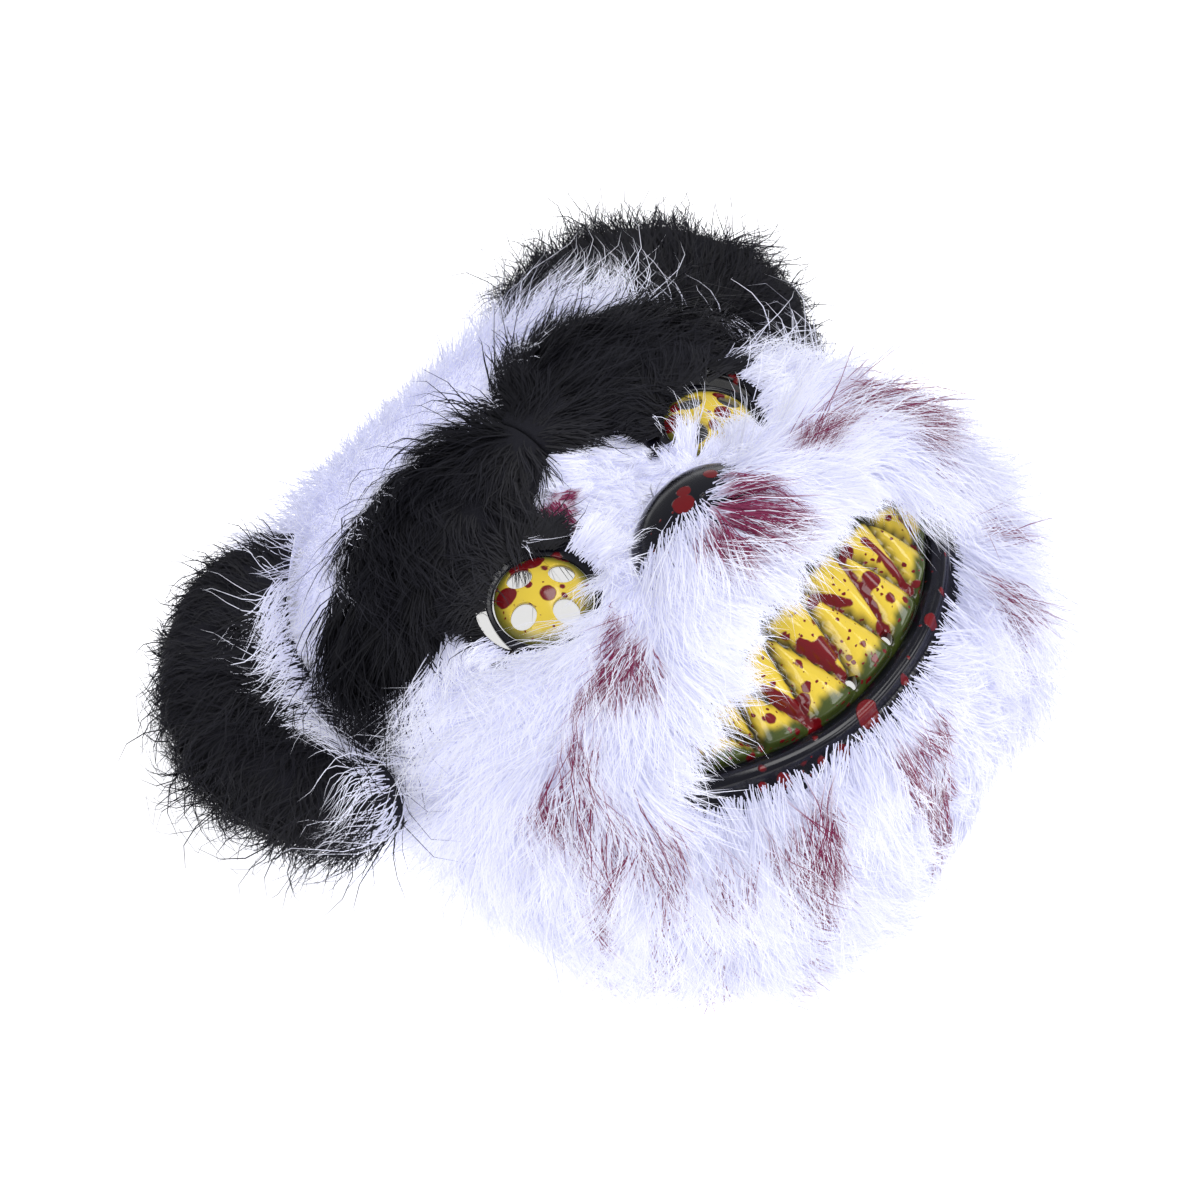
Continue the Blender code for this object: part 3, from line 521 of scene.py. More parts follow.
def furMaterial(name, looks, strand):
    material, tree, shader = newMaterial(name, looks["tip"], 0.62 if strand else 0.9)
    if strand:
        along, tone, stained = (readAttribute(tree, key) for key in ("along", "tone", "stain"))
    else:
        place = objectPlace(tree)
        noise = tree.nodes.new("ShaderNodeTexNoise")
        noise.inputs["Scale"].default_value = 260.0
        noise.inputs["Detail"].default_value = 5.0
        tree.links.new(place, noise.inputs["Vector"])
        # the backing mixes the painted root shade and the tip colour in patches by noise
        along = tone = noise.outputs["Fac"]
        stained = readAttribute(tree, "stain")
        addBump(tree, shader, noise.outputs["Fac"], 0.8, 0.002)
    shade = useGroup(tree, "furShade", Root=(*looks["root"], 1.0), Tip=(*looks["tip"], 1.0),
                     Stain=(*looks["stain"], 1.0), Along=along, Tone=tone, Stained=stained,
                     Variation=looks["variation"])
    tree.links.new(shade.outputs["Colour"], shader.inputs["Base Color"])
    shader.inputs["Specular IOR Level"].default_value = looks["gloss"]
    # painted glow: the pale fur emits light, standing in for light passed on between its hairs
    if looks["glow"]:       # light passed on between pale hairs
        tree.links.new(shade.outputs["Colour"], shader.inputs["Emission Color"])
        shader.inputs["Emission Strength"].default_value = looks["glow"]
    return material


materials = dict(
    whiteStrand=furMaterial("whiteFurStrands", whiteLooks, True),
    # the forehead's short fur is a brighter copy of the white fur material: more painted glow
    shortStrandBrighterGlow=furMaterial("whiteFurShortBrighterGlow", dict(whiteLooks, glow=0.42), True),
    whiteBacking=furMaterial("whiteFurBacking", whiteLooks, False),
    blackStrand=furMaterial("blackFurStrands", blackLooks, True),
    blackBacking=furMaterial("blackFurBacking", blackLooks, False),
)

paintLooks = dict(
    yellow=(0.76, 0.56, 0.055), green=(0.055, 0.075, 0.016), brown=(0.022, 0.016, 0.007),
    blood=(0.16, 0.005, 0.008), black=(0.004, 0.004, 0.008))
paints = dict(
    eyePaint=dict(base="yellow", edge="green", deep="brown", spacing=6.5, drop=0.34, smear=0.2,
                  low=0.12, high=0.22, coat=0.2),
    toothPaint=dict(base="yellow", edge="green", deep="brown", spacing=4.4, drop=0.36, smear=0.35,
                    low=0.10, high=0.20, coat=0.3),
    glossBlack=dict(base="black", edge="black", deep="black", spacing=9.0, drop=0.20, smear=0.0,
                    low=0.12, high=0.26, coat=0.0),
)


# glossy paint: base, edge colour by the rim layer, deep colour by the groove layer, splatter on top
def paintedMaterial(name, base, edge, deep, spacing, drop, smear, low, high, coat):
    base, edge, deep = (paintLooks[key] for key in (base, edge, deep))
    material, tree, shader = newMaterial(name, base, 0.15)
    place = objectPlace(tree)
    colour = mixColour(tree, readAttribute(tree, "rim"), (*base, 1.0), (*edge, 1.0))
    colour = mixColour(tree, readAttribute(tree, "groove"), colour, (*deep, 1.0))
    blots = useGroup(tree, "splatter", Vector=place, Painted=readAttribute(tree, "blood"), Smear=smear,
                     **{"Drop Spacing": spacing, "Drop Size": drop})
    colour = mixColour(tree, blots.outputs["Mask"], colour, (*paintLooks["blood"], 1.0))
    tree.links.new(colour, shader.inputs["Base Color"])
    grain = useGroup(tree, "grain", Vector=place, Scale=140.0, Low=low, High=high)
    tree.links.new(grain.outputs["Roughness"], shader.inputs["Roughness"])
    addBump(tree, shader, blots.outputs["Height"], 0.35, 0.0004)
    shader.inputs["Coat Weight"].default_value = coat
    shader.inputs["Coat Roughness"].default_value = 0.05
    shader.inputs["Specular IOR Level"].default_value = 0.35
    return material


for paintName, paint in paints.items():
    materials[paintName] = paintedMaterial(paintName, **paint)


def plainPlastic(name, colour, low, high, scale, distance):
    material, tree, shader = newMaterial(name, colour, high)
    place = objectPlace(tree)
    grain = useGroup(tree, "grain", Vector=place, Scale=scale, Low=low, High=high)
    tree.links.new(grain.outputs["Roughness"], shader.inputs["Roughness"])
    darker, paler = ((*[c * share for c in colour], 1.0) for share in (0.7, 1.4))
    tint = mixColour(tree, grain.outputs["Height"], darker, paler)
    tree.links.new(tint, shader.inputs["Base Color"])
    addBump(tree, shader, grain.outputs["Height"], 0.4, distance)
    return material


def wovenBand(name):
    material, tree, shader = newMaterial(name, (0.02, 0.02, 0.02), 0.8)
    place = objectPlace(tree)
    ribs = tree.nodes.new("ShaderNodeTexWave")
    ribs.bands_direction = "Z"
    ribs.inputs["Scale"].default_value = 250.0
    tree.links.new(place, ribs.inputs["Vector"])
    colour = mixColour(tree, ribs.outputs["Fac"], (0.008, 0.008, 0.009, 1.0), (0.035, 0.035, 0.038, 1.0))
    tree.links.new(colour, shader.inputs["Base Color"])
    addBump(tree, shader, ribs.outputs["Fac"], 0.6, 0.0004)
    return material


materials["shellPlastic"] = plainPlastic("shellPlastic", (0.030, 0.030, 0.034), 0.40, 0.60, 420.0, 0.0003)
materials["elastic"] = wovenBand("wovenElastic")
print("materials made:", len(materials))

# hard pieces

eye = dict(x=41.0, y=12.0, z=96.0, leanX=0.10, leanY=-0.03, radius=14.3, rise=6.0, wall=1.6,
           hole=3.8, holeOffset=8.6, socket=22.6, socketWall=1.6, socketDepth=13.0,
           slitInner=16.3, slitOuter=19.9, slitFrom=-10.0, slitTo=62.0)


def eyePlace(side):
    centre = np.array((eye["x"] * side, eye["y"], eye["z"]))
    axis = np.array((eye["leanX"] * side, eye["leanY"], 1.0))
    axis /= np.linalg.norm(axis)
    across = np.array((1.0, 0.0, 0.0)) - axis * axis[0]
    across /= np.linalg.norm(across)
    along = np.cross(axis, across)

    def place(x, y, z):
        x, y, z = (np.asarray(v, float)[..., None] for v in (x, y, z))
        return centre + across * x * side + along * y + axis * z

    return place


# painted blots on the eyes: place on the dome across and along, and radius
eyeBlots = dict(
    left=((7.5, 9.5, 3.4), (3.0, 11.5, 3.0), (-6.5, 8.0, 3.2), (0.5, -1.5, 2.9), (4.8, -3.4, 1.3),
          (-0.5, 4.4, 1.0)),
    right=((-8.5, 8.0, 3.4), (-3.0, 11.0, 2.6), (9.0, 3.5, 2.0), (2.0, -2.0, 2.4)),
)
socketBlots = ((-15.0, 34.0, 5.5), (-23.5, 33.0, 3.0), (25.0, 30.0, 4.0))       # x, y and radius on the face


# layers that the paint reads
def putPaint(made, blood, rim=0.0, groove=0.0):
    for key, values in (("rim", rim), ("groove", groove), ("blood", blood)):
        putFloat(made.data, key, np.broadcast_to(values, len(blood)))


def buildEye(side, word):
    place = eyePlace(side)
    sphere = (eye["radius"] ** 2 + eye["rise"] ** 2) / (2.0 * eye["rise"])

    def domeHeight(radius, drop):
        return math.sqrt(sphere ** 2 - radius ** 2) - sphere + eye["rise"] - drop

    inner = eye["radius"] - eye["wall"]
    steps = np.linspace(0.002, 1.0, 28)
    profile = [(inner * s, domeHeight(inner * s, eye["wall"] * 1.15)) for s in steps]
    profile += [(inner, -1.4), (eye["radius"] - 0.3, -1.4), (eye["radius"], -1.1)]
    profile += [(eye["radius"] * s, domeHeight(eye["radius"] * s, 0.0)) for s in steps[::-1]]
    dome = spunShape("eyeDome_" + word, profile, 96, place, materials["eyePaint"], closed=True)
    tools = []
    for number in range(4):
        turn = math.radians(90.0 * number)
        x, y, r = eye["holeOffset"] * math.cos(turn), eye["holeOffset"] * math.sin(turn), eye["hole"]
        tools.append(spunShape("hole", ((r, -12.0), (r, 16.0)), 40,
                               lambda a, b, c: place(a + x, b + y, c)))
    carve(dome, tools)
    points = meshPoints(dome.data)
    origin = place(0.0, 0.0, 0.0)
    axes = [place(*(1.0 if i == k else 0.0 for i in range(3))) - origin for k in range(3)]
    local = np.stack([(points - origin) @ axis for axis in axes], -1)
    out = np.hypot(local[:, 0], local[:, 1])
    putPaint(dome, blotField(local[:, 0] * side, local[:, 1], eyeBlots[word]),
             rim=smoothStep(out, eye["radius"] - 4.2, eye["radius"] - 0.4) * 0.85)
    finishPiece(dome, "eye_yellow", "eye_dome_" + word)

    hole = eye["radius"] + 0.45
    wall, top = eye["socket"] - eye["socketWall"], 2.2
    bowl = [(hole, -2.0), (hole, 0.0)]
    bowl += [(hole + (wall - hole) * t, top * t ** 1.6) for t in np.linspace(0.1, 1.0, 10)]
    bowl += [(eye["socket"] - 0.5, top + 0.25), (eye["socket"], top),
             (eye["socket"], top - eye["socketDepth"]),
             (wall, top - eye["socketDepth"]), (wall, -1.4)]
    socket = spunShape("eyeSocket_" + word, bowl, 96, place, materials["glossBlack"], closed=True)
    upper, lower = [], []
    for t in np.linspace(0.0, 1.0, 24):
        turn = math.radians(eye["slitFrom"] + (eye["slitTo"] - eye["slitFrom"]) * t)
        half = 0.5 * (eye["slitOuter"] - eye["slitInner"]) * max(0.06, math.sin(math.pi * t) ** 0.6)
        middle = 0.5 * (eye["slitOuter"] + eye["slitInner"])
        ends = np.array([middle - half, middle + half])
        upper.append(place(ends * math.cos(turn), ends * math.sin(turn), np.full(2, 6.0)))
        lower.append(place(ends * math.cos(turn), ends * math.sin(turn), np.full(2, -6.0)))
    carve(socket, [thickSheet("slit", np.array(upper), np.array(lower))])
    points = meshPoints(socket.data)
    putPaint(socket, blotField(points[:, 0], points[:, 1], socketBlots))
    finishPiece(socket, "black_gloss", "eye_socket_" + word)


# above the edge's value inside a blot, falling off round it
def blotField(x, y, blots):
    field = np.full(len(x), -1.0)
    for blotX, blotY, radius in blots:
        inside = radius - np.hypot(x - blotX, y - blotY)
        field = np.maximum(field, blotEdge["value"] + inside / blotEdge["fade"])
    return field


for eyeSide, eyeWord in sides:
    buildEye(eyeSide, eyeWord)
print("eyes built")

nose = dict(y=-16.0, halfX=23.5, halfY=18.5, rise=15.0, wall=1.8, gap=0.45,
            nostrilX=11.5, nostrilY=-27.0, nostril=2.6)
noseRises = ((0.0, 1.0), (0.2, 0.985), (0.35, 0.95), (0.5, 0.885), (0.65, 0.79), (0.78, 0.655),
             (0.88, 0.48), (0.96, 0.24), (1.0, 0.03))      # size of the ring and its height, as shares
noseBlots = ((-5.0, -10.0, 3.6), (-1.0, -7.0, 2.4), (-17.5, -14.5, 1.8), (9.0, -9.0, 2.2))


def buildNose():
    sizes = np.concatenate([np.linspace(0.004, 0.9, 26), np.linspace(0.92, 1.0, 8)])
    known = np.array(noseRises)
    rises = np.interp(sizes, known[:, 0], known[:, 1])
    rises = np.convolve(np.pad(rises, 2, mode="edge"), np.ones(5) / 5.0, mode="valid")
    turns = np.linspace(0.0, 2.0 * math.pi, 96, endpoint=False)
    rings = []
    for layer in (0, 1):
        inset = nose["wall"] * layer
        for size, rise in list(zip(sizes, rises))[::-1 if layer else 1]:
            halfX, halfY = (nose["halfX"] - inset) * size, (nose["halfY"] - inset) * size
            lift = max(nose["gap"] + nose["rise"] * rise - inset * (size < 1.0), nose["gap"])
            x = halfX * np.cos(turns) * (1.0 + 0.10 * np.sin(turns))
            rings.append(onShell(x, nose["y"] + halfY * np.sin(turns), lift))
    rings.append(rings[0])
    faces = gridFaces(len(rings), 96, closed=True)
    made = facesOut(makeObject("nosePiece", np.array(rings), faces, materials["glossBlack"]))
    tools = []
    for side, word in sides:
        hole = ovalOutline(nose["nostrilX"] * side, nose["nostrilY"], nose["nostril"], nose["nostril"], 32)
        tools.append(boxOver("nostril", hole, 80.0, 140.0))
    carve(made, tools)
    points = meshPoints(made.data)
    putPaint(made, blotField(points[:, 0], points[:, 1], noseBlots))
    finishPiece(made, "black_gloss", "nose")


buildNose()
print("nose built")

mouth = dict(half=59.0, border=1.6, plate=1.7, toothRise=4.2, grooveWidth=1.1,
             lowerTips=(-53.0, -41.0, -26.7, -9.2, 9.2, 26.7, 41.0, 53.0),
             upperTips=(-56.5, -47.5, -34.5, -18.0, 0.0, 18.0, 34.5, 47.5, 56.5),
             breathRadius=1.7, columns=150, rows=48)
gumLower = dict(centre=-75.0, bend=26.0, power=2.3)
gumUpper = dict(centre=-44.0, bend=-5.2, power=2.0)
breathHoles = ((-9.2, "lower"), (9.2, "lower"), (-18.0, "upper"), (0.0, "upper"), (18.0, "upper"))
toothBlots = ((-27.0, -73.0, 3.0), (-24.5, -66.0, 2.6), (-9.0, -63.0, 3.4), (9.5, -70.5, 2.8),
              (18.0, -60.0, 2.6), (20.0, -50.0, 2.4), (0.0, -52.0, 2.0), (40.0, -62.0, 2.2),
              (44.0, -57.0, 2.0), (-35.0, -62.0, 1.8))
# runs of paint: x and y of both ends, and half the width
toothRuns = ((-30.0, -56.0, -26.0, -73.0, 1.6), (-26.5, -72.0, -36.0, -70.0, 0.8),
             (18.5, -46.0, 10.5, -70.0, 1.2), (26.5, -52.0, 27.0, -68.0, 1.3),
             (-13.0, -56.0, -9.5, -72.0, 1.0), (0.0, -47.0, 7.0, -60.0, 1.0))


def gumLine(x, gum):
    return gum["centre"] + gum["bend"] * np.abs(np.asarray(x, float) / 60.0) ** gum["power"]


# distance of points from a line between two points
def toSegment(x, y, first, second):
    (ax, ay), (bx, by) = first, second
    share = ((x - ax) * (bx - ax) + (y - ay) * (by - ay)) / ((bx - ax) ** 2 + (by - ay) ** 2)
    share = np.clip(share, 0.0, 1.0)
    return np.hypot(x - ax - share * (bx - ax), y - ay - share * (by - ay))


# distance from the zigzag groove between the teeth
def toGrooves(x, y, tips):
    away = np.full(x.shape, 99.0)
    for first, second in zip(tips, tips[1:]):
        away = np.minimum(away, toSegment(x, y, first, second))
    return away


def buildTeeth():
    half = mouth["half"] + mouth["border"]
    turns = np.linspace(0.0, math.pi, mouth["columns"])
    x = -half * np.cos(turns)
    inside = x * mouth["half"] / half
    border = mouth["border"] * np.sin(turns).clip(0.0) ** 0.5 + 0.15
    low, high = gumLine(inside, gumLower) - border, gumLine(inside, gumUpper) + border
    across = np.linspace(0.0, 1.0, mouth["rows"])
    gridX = np.repeat(x[:, None], mouth["rows"], 1)
    gridY = low[:, None] + (high - low)[:, None] * across[None, :]

    tips = sorted([(t, float(gumLine(t, gumLower))) for t in mouth["lowerTips"]]
                  + [(t, float(gumLine(t, gumUpper))) for t in mouth["upperTips"]])
    away = toGrooves(gridX, gridY, tips)
    toEdge = np.minimum(gridY - low[:, None], high[:, None] - gridY)
    toEdge = np.minimum(toEdge, 0.9 * (half - np.abs(gridX)) + 0.6)
    crown = (1.0 - np.exp(-np.maximum(away - 0.35, 0.0) / 2.1)) ** 0.9
    sunk = smoothStep(away, 0.9, 0.2) * 0.9        # the groove's floor sinks under the plate
    edge = smoothStep(toEdge, 0.8, 4.2)
    lift = -0.2 + (mouth["toothRise"] - 0.1) * crown * edge - sunk * edge + 0.5 * smoothStep(toEdge, 0.0, 1.4)
    upper = onShell(gridX, gridY, lift)
    lower = onShell(gridX, gridY, -0.2 - mouth["plate"])
    made = thickSheet("teethPlate", upper, lower, materials["toothPaint"])
    tools = []
    for place, jaw in breathHoles:
        gum, inward = (gumLower, 2.6) if jaw == "lower" else (gumUpper, -2.6)
        holeY = float(gumLine(place, gum)) + inward
        outline = ovalOutline(place, holeY, mouth["breathRadius"], mouth["breathRadius"], 32)
        tools.append(boxOver("breath", outline, 70.0, 130.0))
    carve(made, tools)
    points = meshPoints(made.data)
    px, py = points[:, 0], points[:, 1]
    away = toGrooves(px, py, tips)
    inside = px * mouth["half"] / half
    toEdge = np.minimum(py - gumLine(inside, gumLower), gumLine(inside, gumUpper) - py) + mouth["border"]
    wave = 0.5 * np.sin(px * 0.7) + 0.35 * np.sin(px * 1.9 + 1.0)
    rim = np.maximum(smoothStep(toEdge + wave, 6.0, 3.2), smoothStep(np.abs(px), half - 7.0, half - 2.5))
    groove = smoothStep(away, mouth["grooveWidth"] + 0.5, 0.35) * smoothStep(toEdge, 1.0, 3.0)
    blood = blotField(px, py, toothBlots)
    for ax, ay, bx, by, wide in toothRuns:
        within = wide - toSegment(px, py, (ax, ay), (bx, by))
        blood = np.maximum(blood, blotEdge["value"] + within / blotEdge["fade"])
    putPaint(made, blood, rim, groove)
    finishPiece(made, "tooth_yellow", "teeth_plate")


buildTeeth()
print("teeth built")

lip = dict(below=10.0, above=6.5, reach=8.0, stations=180)
# the lip's section: share of its width, and lift over the hard face
lipSection = ((0.0, 0.6), (0.01, 2.2), (0.04, 3.6), (0.10, 5.0), (0.18, 5.9), (0.27, 5.9), (0.36, 5.1),
              (0.44, 4.6), (0.52, 4.7), (0.62, 5.3), (0.72, 5.8), (0.82, 5.7), (0.90, 5.0), (0.955, 3.9),
              (0.985, 2.8), (1.0, 0.6), (0.5, 0.7))
lipBlots = ((-14.0, -81.0, 4.0), (-27.0, -82.0, 2.6), (-33.0, -79.0, 1.8), (2.0, -83.0, 1.6),
            (22.0, -79.0, 2.0), (33.0, -76.0, 1.4), (-44.0, -74.0, 2.2), (-49.0, -70.0, 1.2),
            (-21.0, -84.0, 1.3))


def lipOutline(share, count):
    points = []
    for gum, width in ((gumLower, -lip["below"]), (gumUpper, lip["above"])):
        for i in range(count - 1):
            turn = math.pi * i / (count - 1)
            turn = turn if width < 0.0 else math.pi - turn
            half = mouth["half"] + 0.6 + lip["reach"] * share
            x = -half * math.cos(turn)
            inside = x * mouth["half"] / half
            swell = max(math.sin(turn), 0.0) ** 0.45 if 0.0 < turn < math.pi else 0.0
            y = float(gumLine(inside, gum)) + (math.copysign(0.4, width) + width * share) * swell
            if swell == 0.0:
                y = 0.5 * float(gumLine(mouth["half"], gumLower) + gumLine(mouth["half"], gumUpper))
            points.append((x, y))
    return np.array(points)


def buildLip():
    rings = []
    for share, lift in lipSection + lipSection[:1]:
        outline = lipOutline(share, lip["stations"] // 2)
        rings.append(onShell(outline[:, 0], outline[:, 1], lift))
    faces = gridFaces(len(rings), len(rings[0]), closed=True)
    made = facesOut(makeObject("lipRing", np.array(rings), faces, materials["glossBlack"]))
    smooth = made.modifiers.new("round", "SUBSURF")
    smooth.levels = smooth.render_levels = 1
    plainMesh(made)
    points = meshPoints(made.data)
    putPaint(made, blotField(points[:, 0], points[:, 1], lipBlots))
    finishPiece(made, "black_gloss", "lip_ring")


buildLip()
print("lip built")

for nodeName, kind in (("face_shell", "shellPlastic"), ("elastic_strap", "elastic")):
    nodes[nodeName].data.materials.clear()
    nodes[nodeName].data.materials.append(materials[kind])

# fur strands by Geometry Nodes: pointed ribbons on a grown surface, combed along its flow attribute

def buildStrandTree():
    tree = bpy.data.node_groups.new("furStrands", "GeometryNodeTree")
    tree.interface.new_socket(name="Geometry", in_out="INPUT", socket_type="NodeSocketGeometry")
    tree.interface.new_socket(name="Geometry", in_out="OUTPUT", socket_type="NodeSocketGeometry")
    for title, value in (
            ("Density", 1e6), ("Length", 0.02), ("Width", 0.0005), ("Lift", 0.5), ("Droop", 0.6),
            ("Curl", 0.05), ("Curl Turns", 1.5), ("Spread", 0.3), ("Clump", 0.4), ("Clump Density", 5e4),
            ("Wisps", 0.04), ("Undercoat", 0.25), ("Shade Lean", 0.35)):
        socket = tree.interface.new_socket(name=title, in_out="INPUT", socket_type="NodeSocketFloat")
        socket.default_value = value
    for title, value in (("Segments", 5), ("Seed", 1)):
        socket = tree.interface.new_socket(name=title, in_out="INPUT", socket_type="NodeSocketInt")
        socket.default_value = value
    tree.interface.new_socket(name="Material", in_out="INPUT", socket_type="NodeSocketMaterial")
    put, plug, calc, vector = nodeTools(tree)
    given = put("NodeGroupInput").outputs

    def times(*values):
        product = values[0]
        for value in values[1:]:
            product = calc("MULTIPLY", product, value)
        return product

    def named(name, kind="FLOAT"):
        node = put("GeometryNodeInputNamedAttribute", data_type=kind)
        node.inputs["Name"].default_value = name
        return node.outputs["Attribute"]

    def store(geometry, name, value, kind="FLOAT"):
        node = put("GeometryNodeStoreNamedAttribute", data_type=kind, domain="POINT")
        plug(node.inputs["Geometry"], geometry)
        node.inputs["Name"].default_value = name
        plug(node.inputs["Value"], value)
        return node.outputs["Geometry"]

    def chance(low, high, seed, ident=None):
        node = put("FunctionNodeRandomValue", data_type="FLOAT")
        node.inputs[2].default_value, node.inputs[3].default_value = low, high
        if ident is not None:
            plug(node.inputs["ID"], ident)
        plug(node.inputs["Seed"], calc("ADD", given["Seed"], float(seed)))
        return node.outputs[1]

    def scatter(density, seed):
        node = put("GeometryNodeDistributePointsOnFaces", distribute_method="RANDOM")
        plug(node.inputs["Mesh"], given["Geometry"])
        plug(node.inputs["Density"], calc("MULTIPLY", density, named("furDensity")))
        plug(node.inputs["Seed"], calc("ADD", given["Seed"], float(seed)))
        return node

    roots = scatter(given["Density"], 0)
    clumps = scatter(given["Clump Density"], 7)
    place = put("GeometryNodeInputPosition").outputs[0]
    nearest = put("GeometryNodeSampleNearest", domain="POINT")
    plug(nearest.inputs["Geometry"], clumps.outputs["Points"])
    plug(nearest.inputs["Sample Position"], place)
    clump = nearest.outputs["Index"]
    middle = put("GeometryNodeSampleIndex", data_type="FLOAT_VECTOR", domain="POINT")
    plug(middle.inputs["Geometry"], clumps.outputs["Points"])
    plug(middle.inputs["Value"], put("GeometryNodeInputPosition").outputs[0])
    plug(middle.inputs["Index"], clump)

    points = roots.outputs["Points"]
    points = store(points, "clumpShift", vector("SUBTRACT", middle.outputs["Value"], place), "FLOAT_VECTOR")
    points = store(points, "strandRoot", place, "FLOAT_VECTOR")
    points = store(points, "strandNormal", roots.outputs["Normal"], "FLOAT_VECTOR")
    ownTone, clumpTone = chance(0.0, 1.0, 11), chance(0.0, 1.0, 12, clump)
    points = store(points, "tone", calc("ADD", times(ownTone, 0.6), times(clumpTone, 0.4)))
    turn = calc("ADD", times(chance(-1.0, 1.0, 13), 0.45), chance(-1.0, 1.0, 14, clump))
    points = store(points, "strandTurn", times(turn, given["Spread"]))
    wisp = calc("LESS_THAN", chance(0.0, 1.0, 15), given["Wisps"])
    reach = times(chance(0.7, 1.15, 16), chance(0.85, 1.15, 17, clump), calc("ADD", 1.0, times(wisp, 0.35)))
    under = calc("LESS_THAN", chance(0.0, 1.0, 22), given["Undercoat"])
    reach = times(reach, calc("SUBTRACT", 1.0, times(under, 0.55)))
    points = store(points, "strandLength", times(reach, named("furLength"), given["Length"]))
    points = store(points, "strandPhase", calc("ADD", chance(0.0, 0.35, 18), chance(0.0, 1.0, 19, clump)))
    points = store(points, "strandRoll", chance(-0.8, 0.8, 20))
    points = store(points, "strandLoose", calc("ADD", times(wisp, 0.9), chance(0.75, 1.2, 21)))

    ribbon = put("GeometryNodeMeshGrid")
    ribbon.inputs["Size X"].default_value = ribbon.inputs["Size Y"].default_value = 1.0
    ribbon.inputs["Vertices X"].default_value = 2
    plug(ribbon.inputs["Vertices Y"], calc("ADD", given["Segments"], 1.0))
    parts = put("ShaderNodeSeparateXYZ")
    plug(parts.inputs[0], put("GeometryNodeInputPosition").outputs[0])
    along = calc("ADD", parts.outputs["Y"], 0.5)
    tip = calc("LESS_THAN", along, 0.999)
    strip = store(ribbon.outputs["Mesh"], "along", along)
    strip = store(strip, "across", times(parts.outputs["X"], tip))
    pinch = put("GeometryNodeSetPosition")
    plug(pinch.inputs["Geometry"], strip)
    narrow = vector("ADD", (0.0, 1.0, 1.0), vector("SCALE", (1.0, 0.0, 0.0), tip))
    spot = put("GeometryNodeInputPosition").outputs[0]
    plug(pinch.inputs["Position"], vector("MULTIPLY", spot, narrow))
    weld = put("GeometryNodeMergeByDistance")
    plug(weld.inputs["Geometry"], pinch.outputs["Geometry"])
    strip = weld.outputs["Geometry"]
    copies = put("GeometryNodeInstanceOnPoints")
    plug(copies.inputs["Points"], points)
    plug(copies.inputs["Instance"], strip)
    real = put("GeometryNodeRealizeInstances")
    plug(real.inputs["Geometry"], copies.outputs["Instances"])

    t, across = named("along"), named("across")
    normal = named("strandNormal", "FLOAT_VECTOR")
    flow = named("flow", "FLOAT_VECTOR")
    raised = vector("SCALE", normal, vector("DOT_PRODUCT", flow, normal))
    flow = vector("NORMALIZE", vector("SUBTRACT", flow, raised))
    side = vector("CROSS_PRODUCT", normal, flow)
    bend = named("strandTurn")
    ahead = vector("ADD", vector("SCALE", flow, calc("COSINE", bend)),
                   vector("SCALE", side, calc("SINE", bend)))
    side = vector("CROSS_PRODUCT", normal, ahead)
    length = named("strandLength")
    loose = named("strandLoose")
    phase = times(calc("ADD", times(t, given["Curl Turns"]), named("strandPhase")), 2.0 * math.pi)
    start = times(named("strandPhase"), 2.0 * math.pi)
    amount = times(length, given["Curl"], calc("MINIMUM", loose, 1.25))
    swing = times(calc("SUBTRACT", calc("SINE", phase), calc("SINE", start)), times(amount, t))
    bob = times(calc("SUBTRACT", calc("COSINE", phase), calc("COSINE", start)), times(amount, t, 0.6))
    lift = calc("MINIMUM", times(given["Lift"], loose, named("furSteep")), 1.15)
    rise = times(length, lift, calc("SUBTRACT", t, times(given["Droop"], times(t, t))))
    forward = times(length, calc("SUBTRACT", t, times(0.1, times(t, t))))
    hold = times(given["Clump"], calc("POWER", t, 1.3))
    pull = calc("MULTIPLY", hold, calc("SUBTRACT", 1.9, loose), clamp=True)
    path = vector("ADD", named("strandRoot", "FLOAT_VECTOR"), vector("SCALE", ahead, forward))
    sink = times(named("furDrop"), times(t, t))
    path = vector("ADD", path, vector("SCALE", normal, calc("SUBTRACT", calc("ADD", rise, bob), sink)))
    path = vector("ADD", path, vector("SCALE", side, swing))
    path = vector("ADD", path, vector("SCALE", named("clumpShift", "FLOAT_VECTOR"), pull))
    roll = named("strandRoll")
    widthWay = vector("ADD", vector("SCALE", side, calc("COSINE", roll)),
                      vector("SCALE", normal, calc("SINE", roll)))
    taper = calc("SUBTRACT", 1.0, times(0.92, calc("POWER", t, 1.6)))
    half = times(across, times(given["Width"], -1.0), taper)
    path = vector("ADD", path, vector("SCALE", widthWay, half))
    split = put("ShaderNodeSeparateXYZ")
    plug(split.inputs[0], path)

    def eased(value, low, high, room):
        for sign, limit in ((1.0, high), (-1.0, low)):
            over = calc("MAXIMUM", calc("MULTIPLY", calc("SUBTRACT", value, limit), sign), 0.0)
            kept = times(calc("SUBTRACT", 1.0, calc("EXPONENT", calc("DIVIDE", over, -room))), room)
            value = calc("ADD", value, times(calc("SUBTRACT", kept, over), sign))
        return value

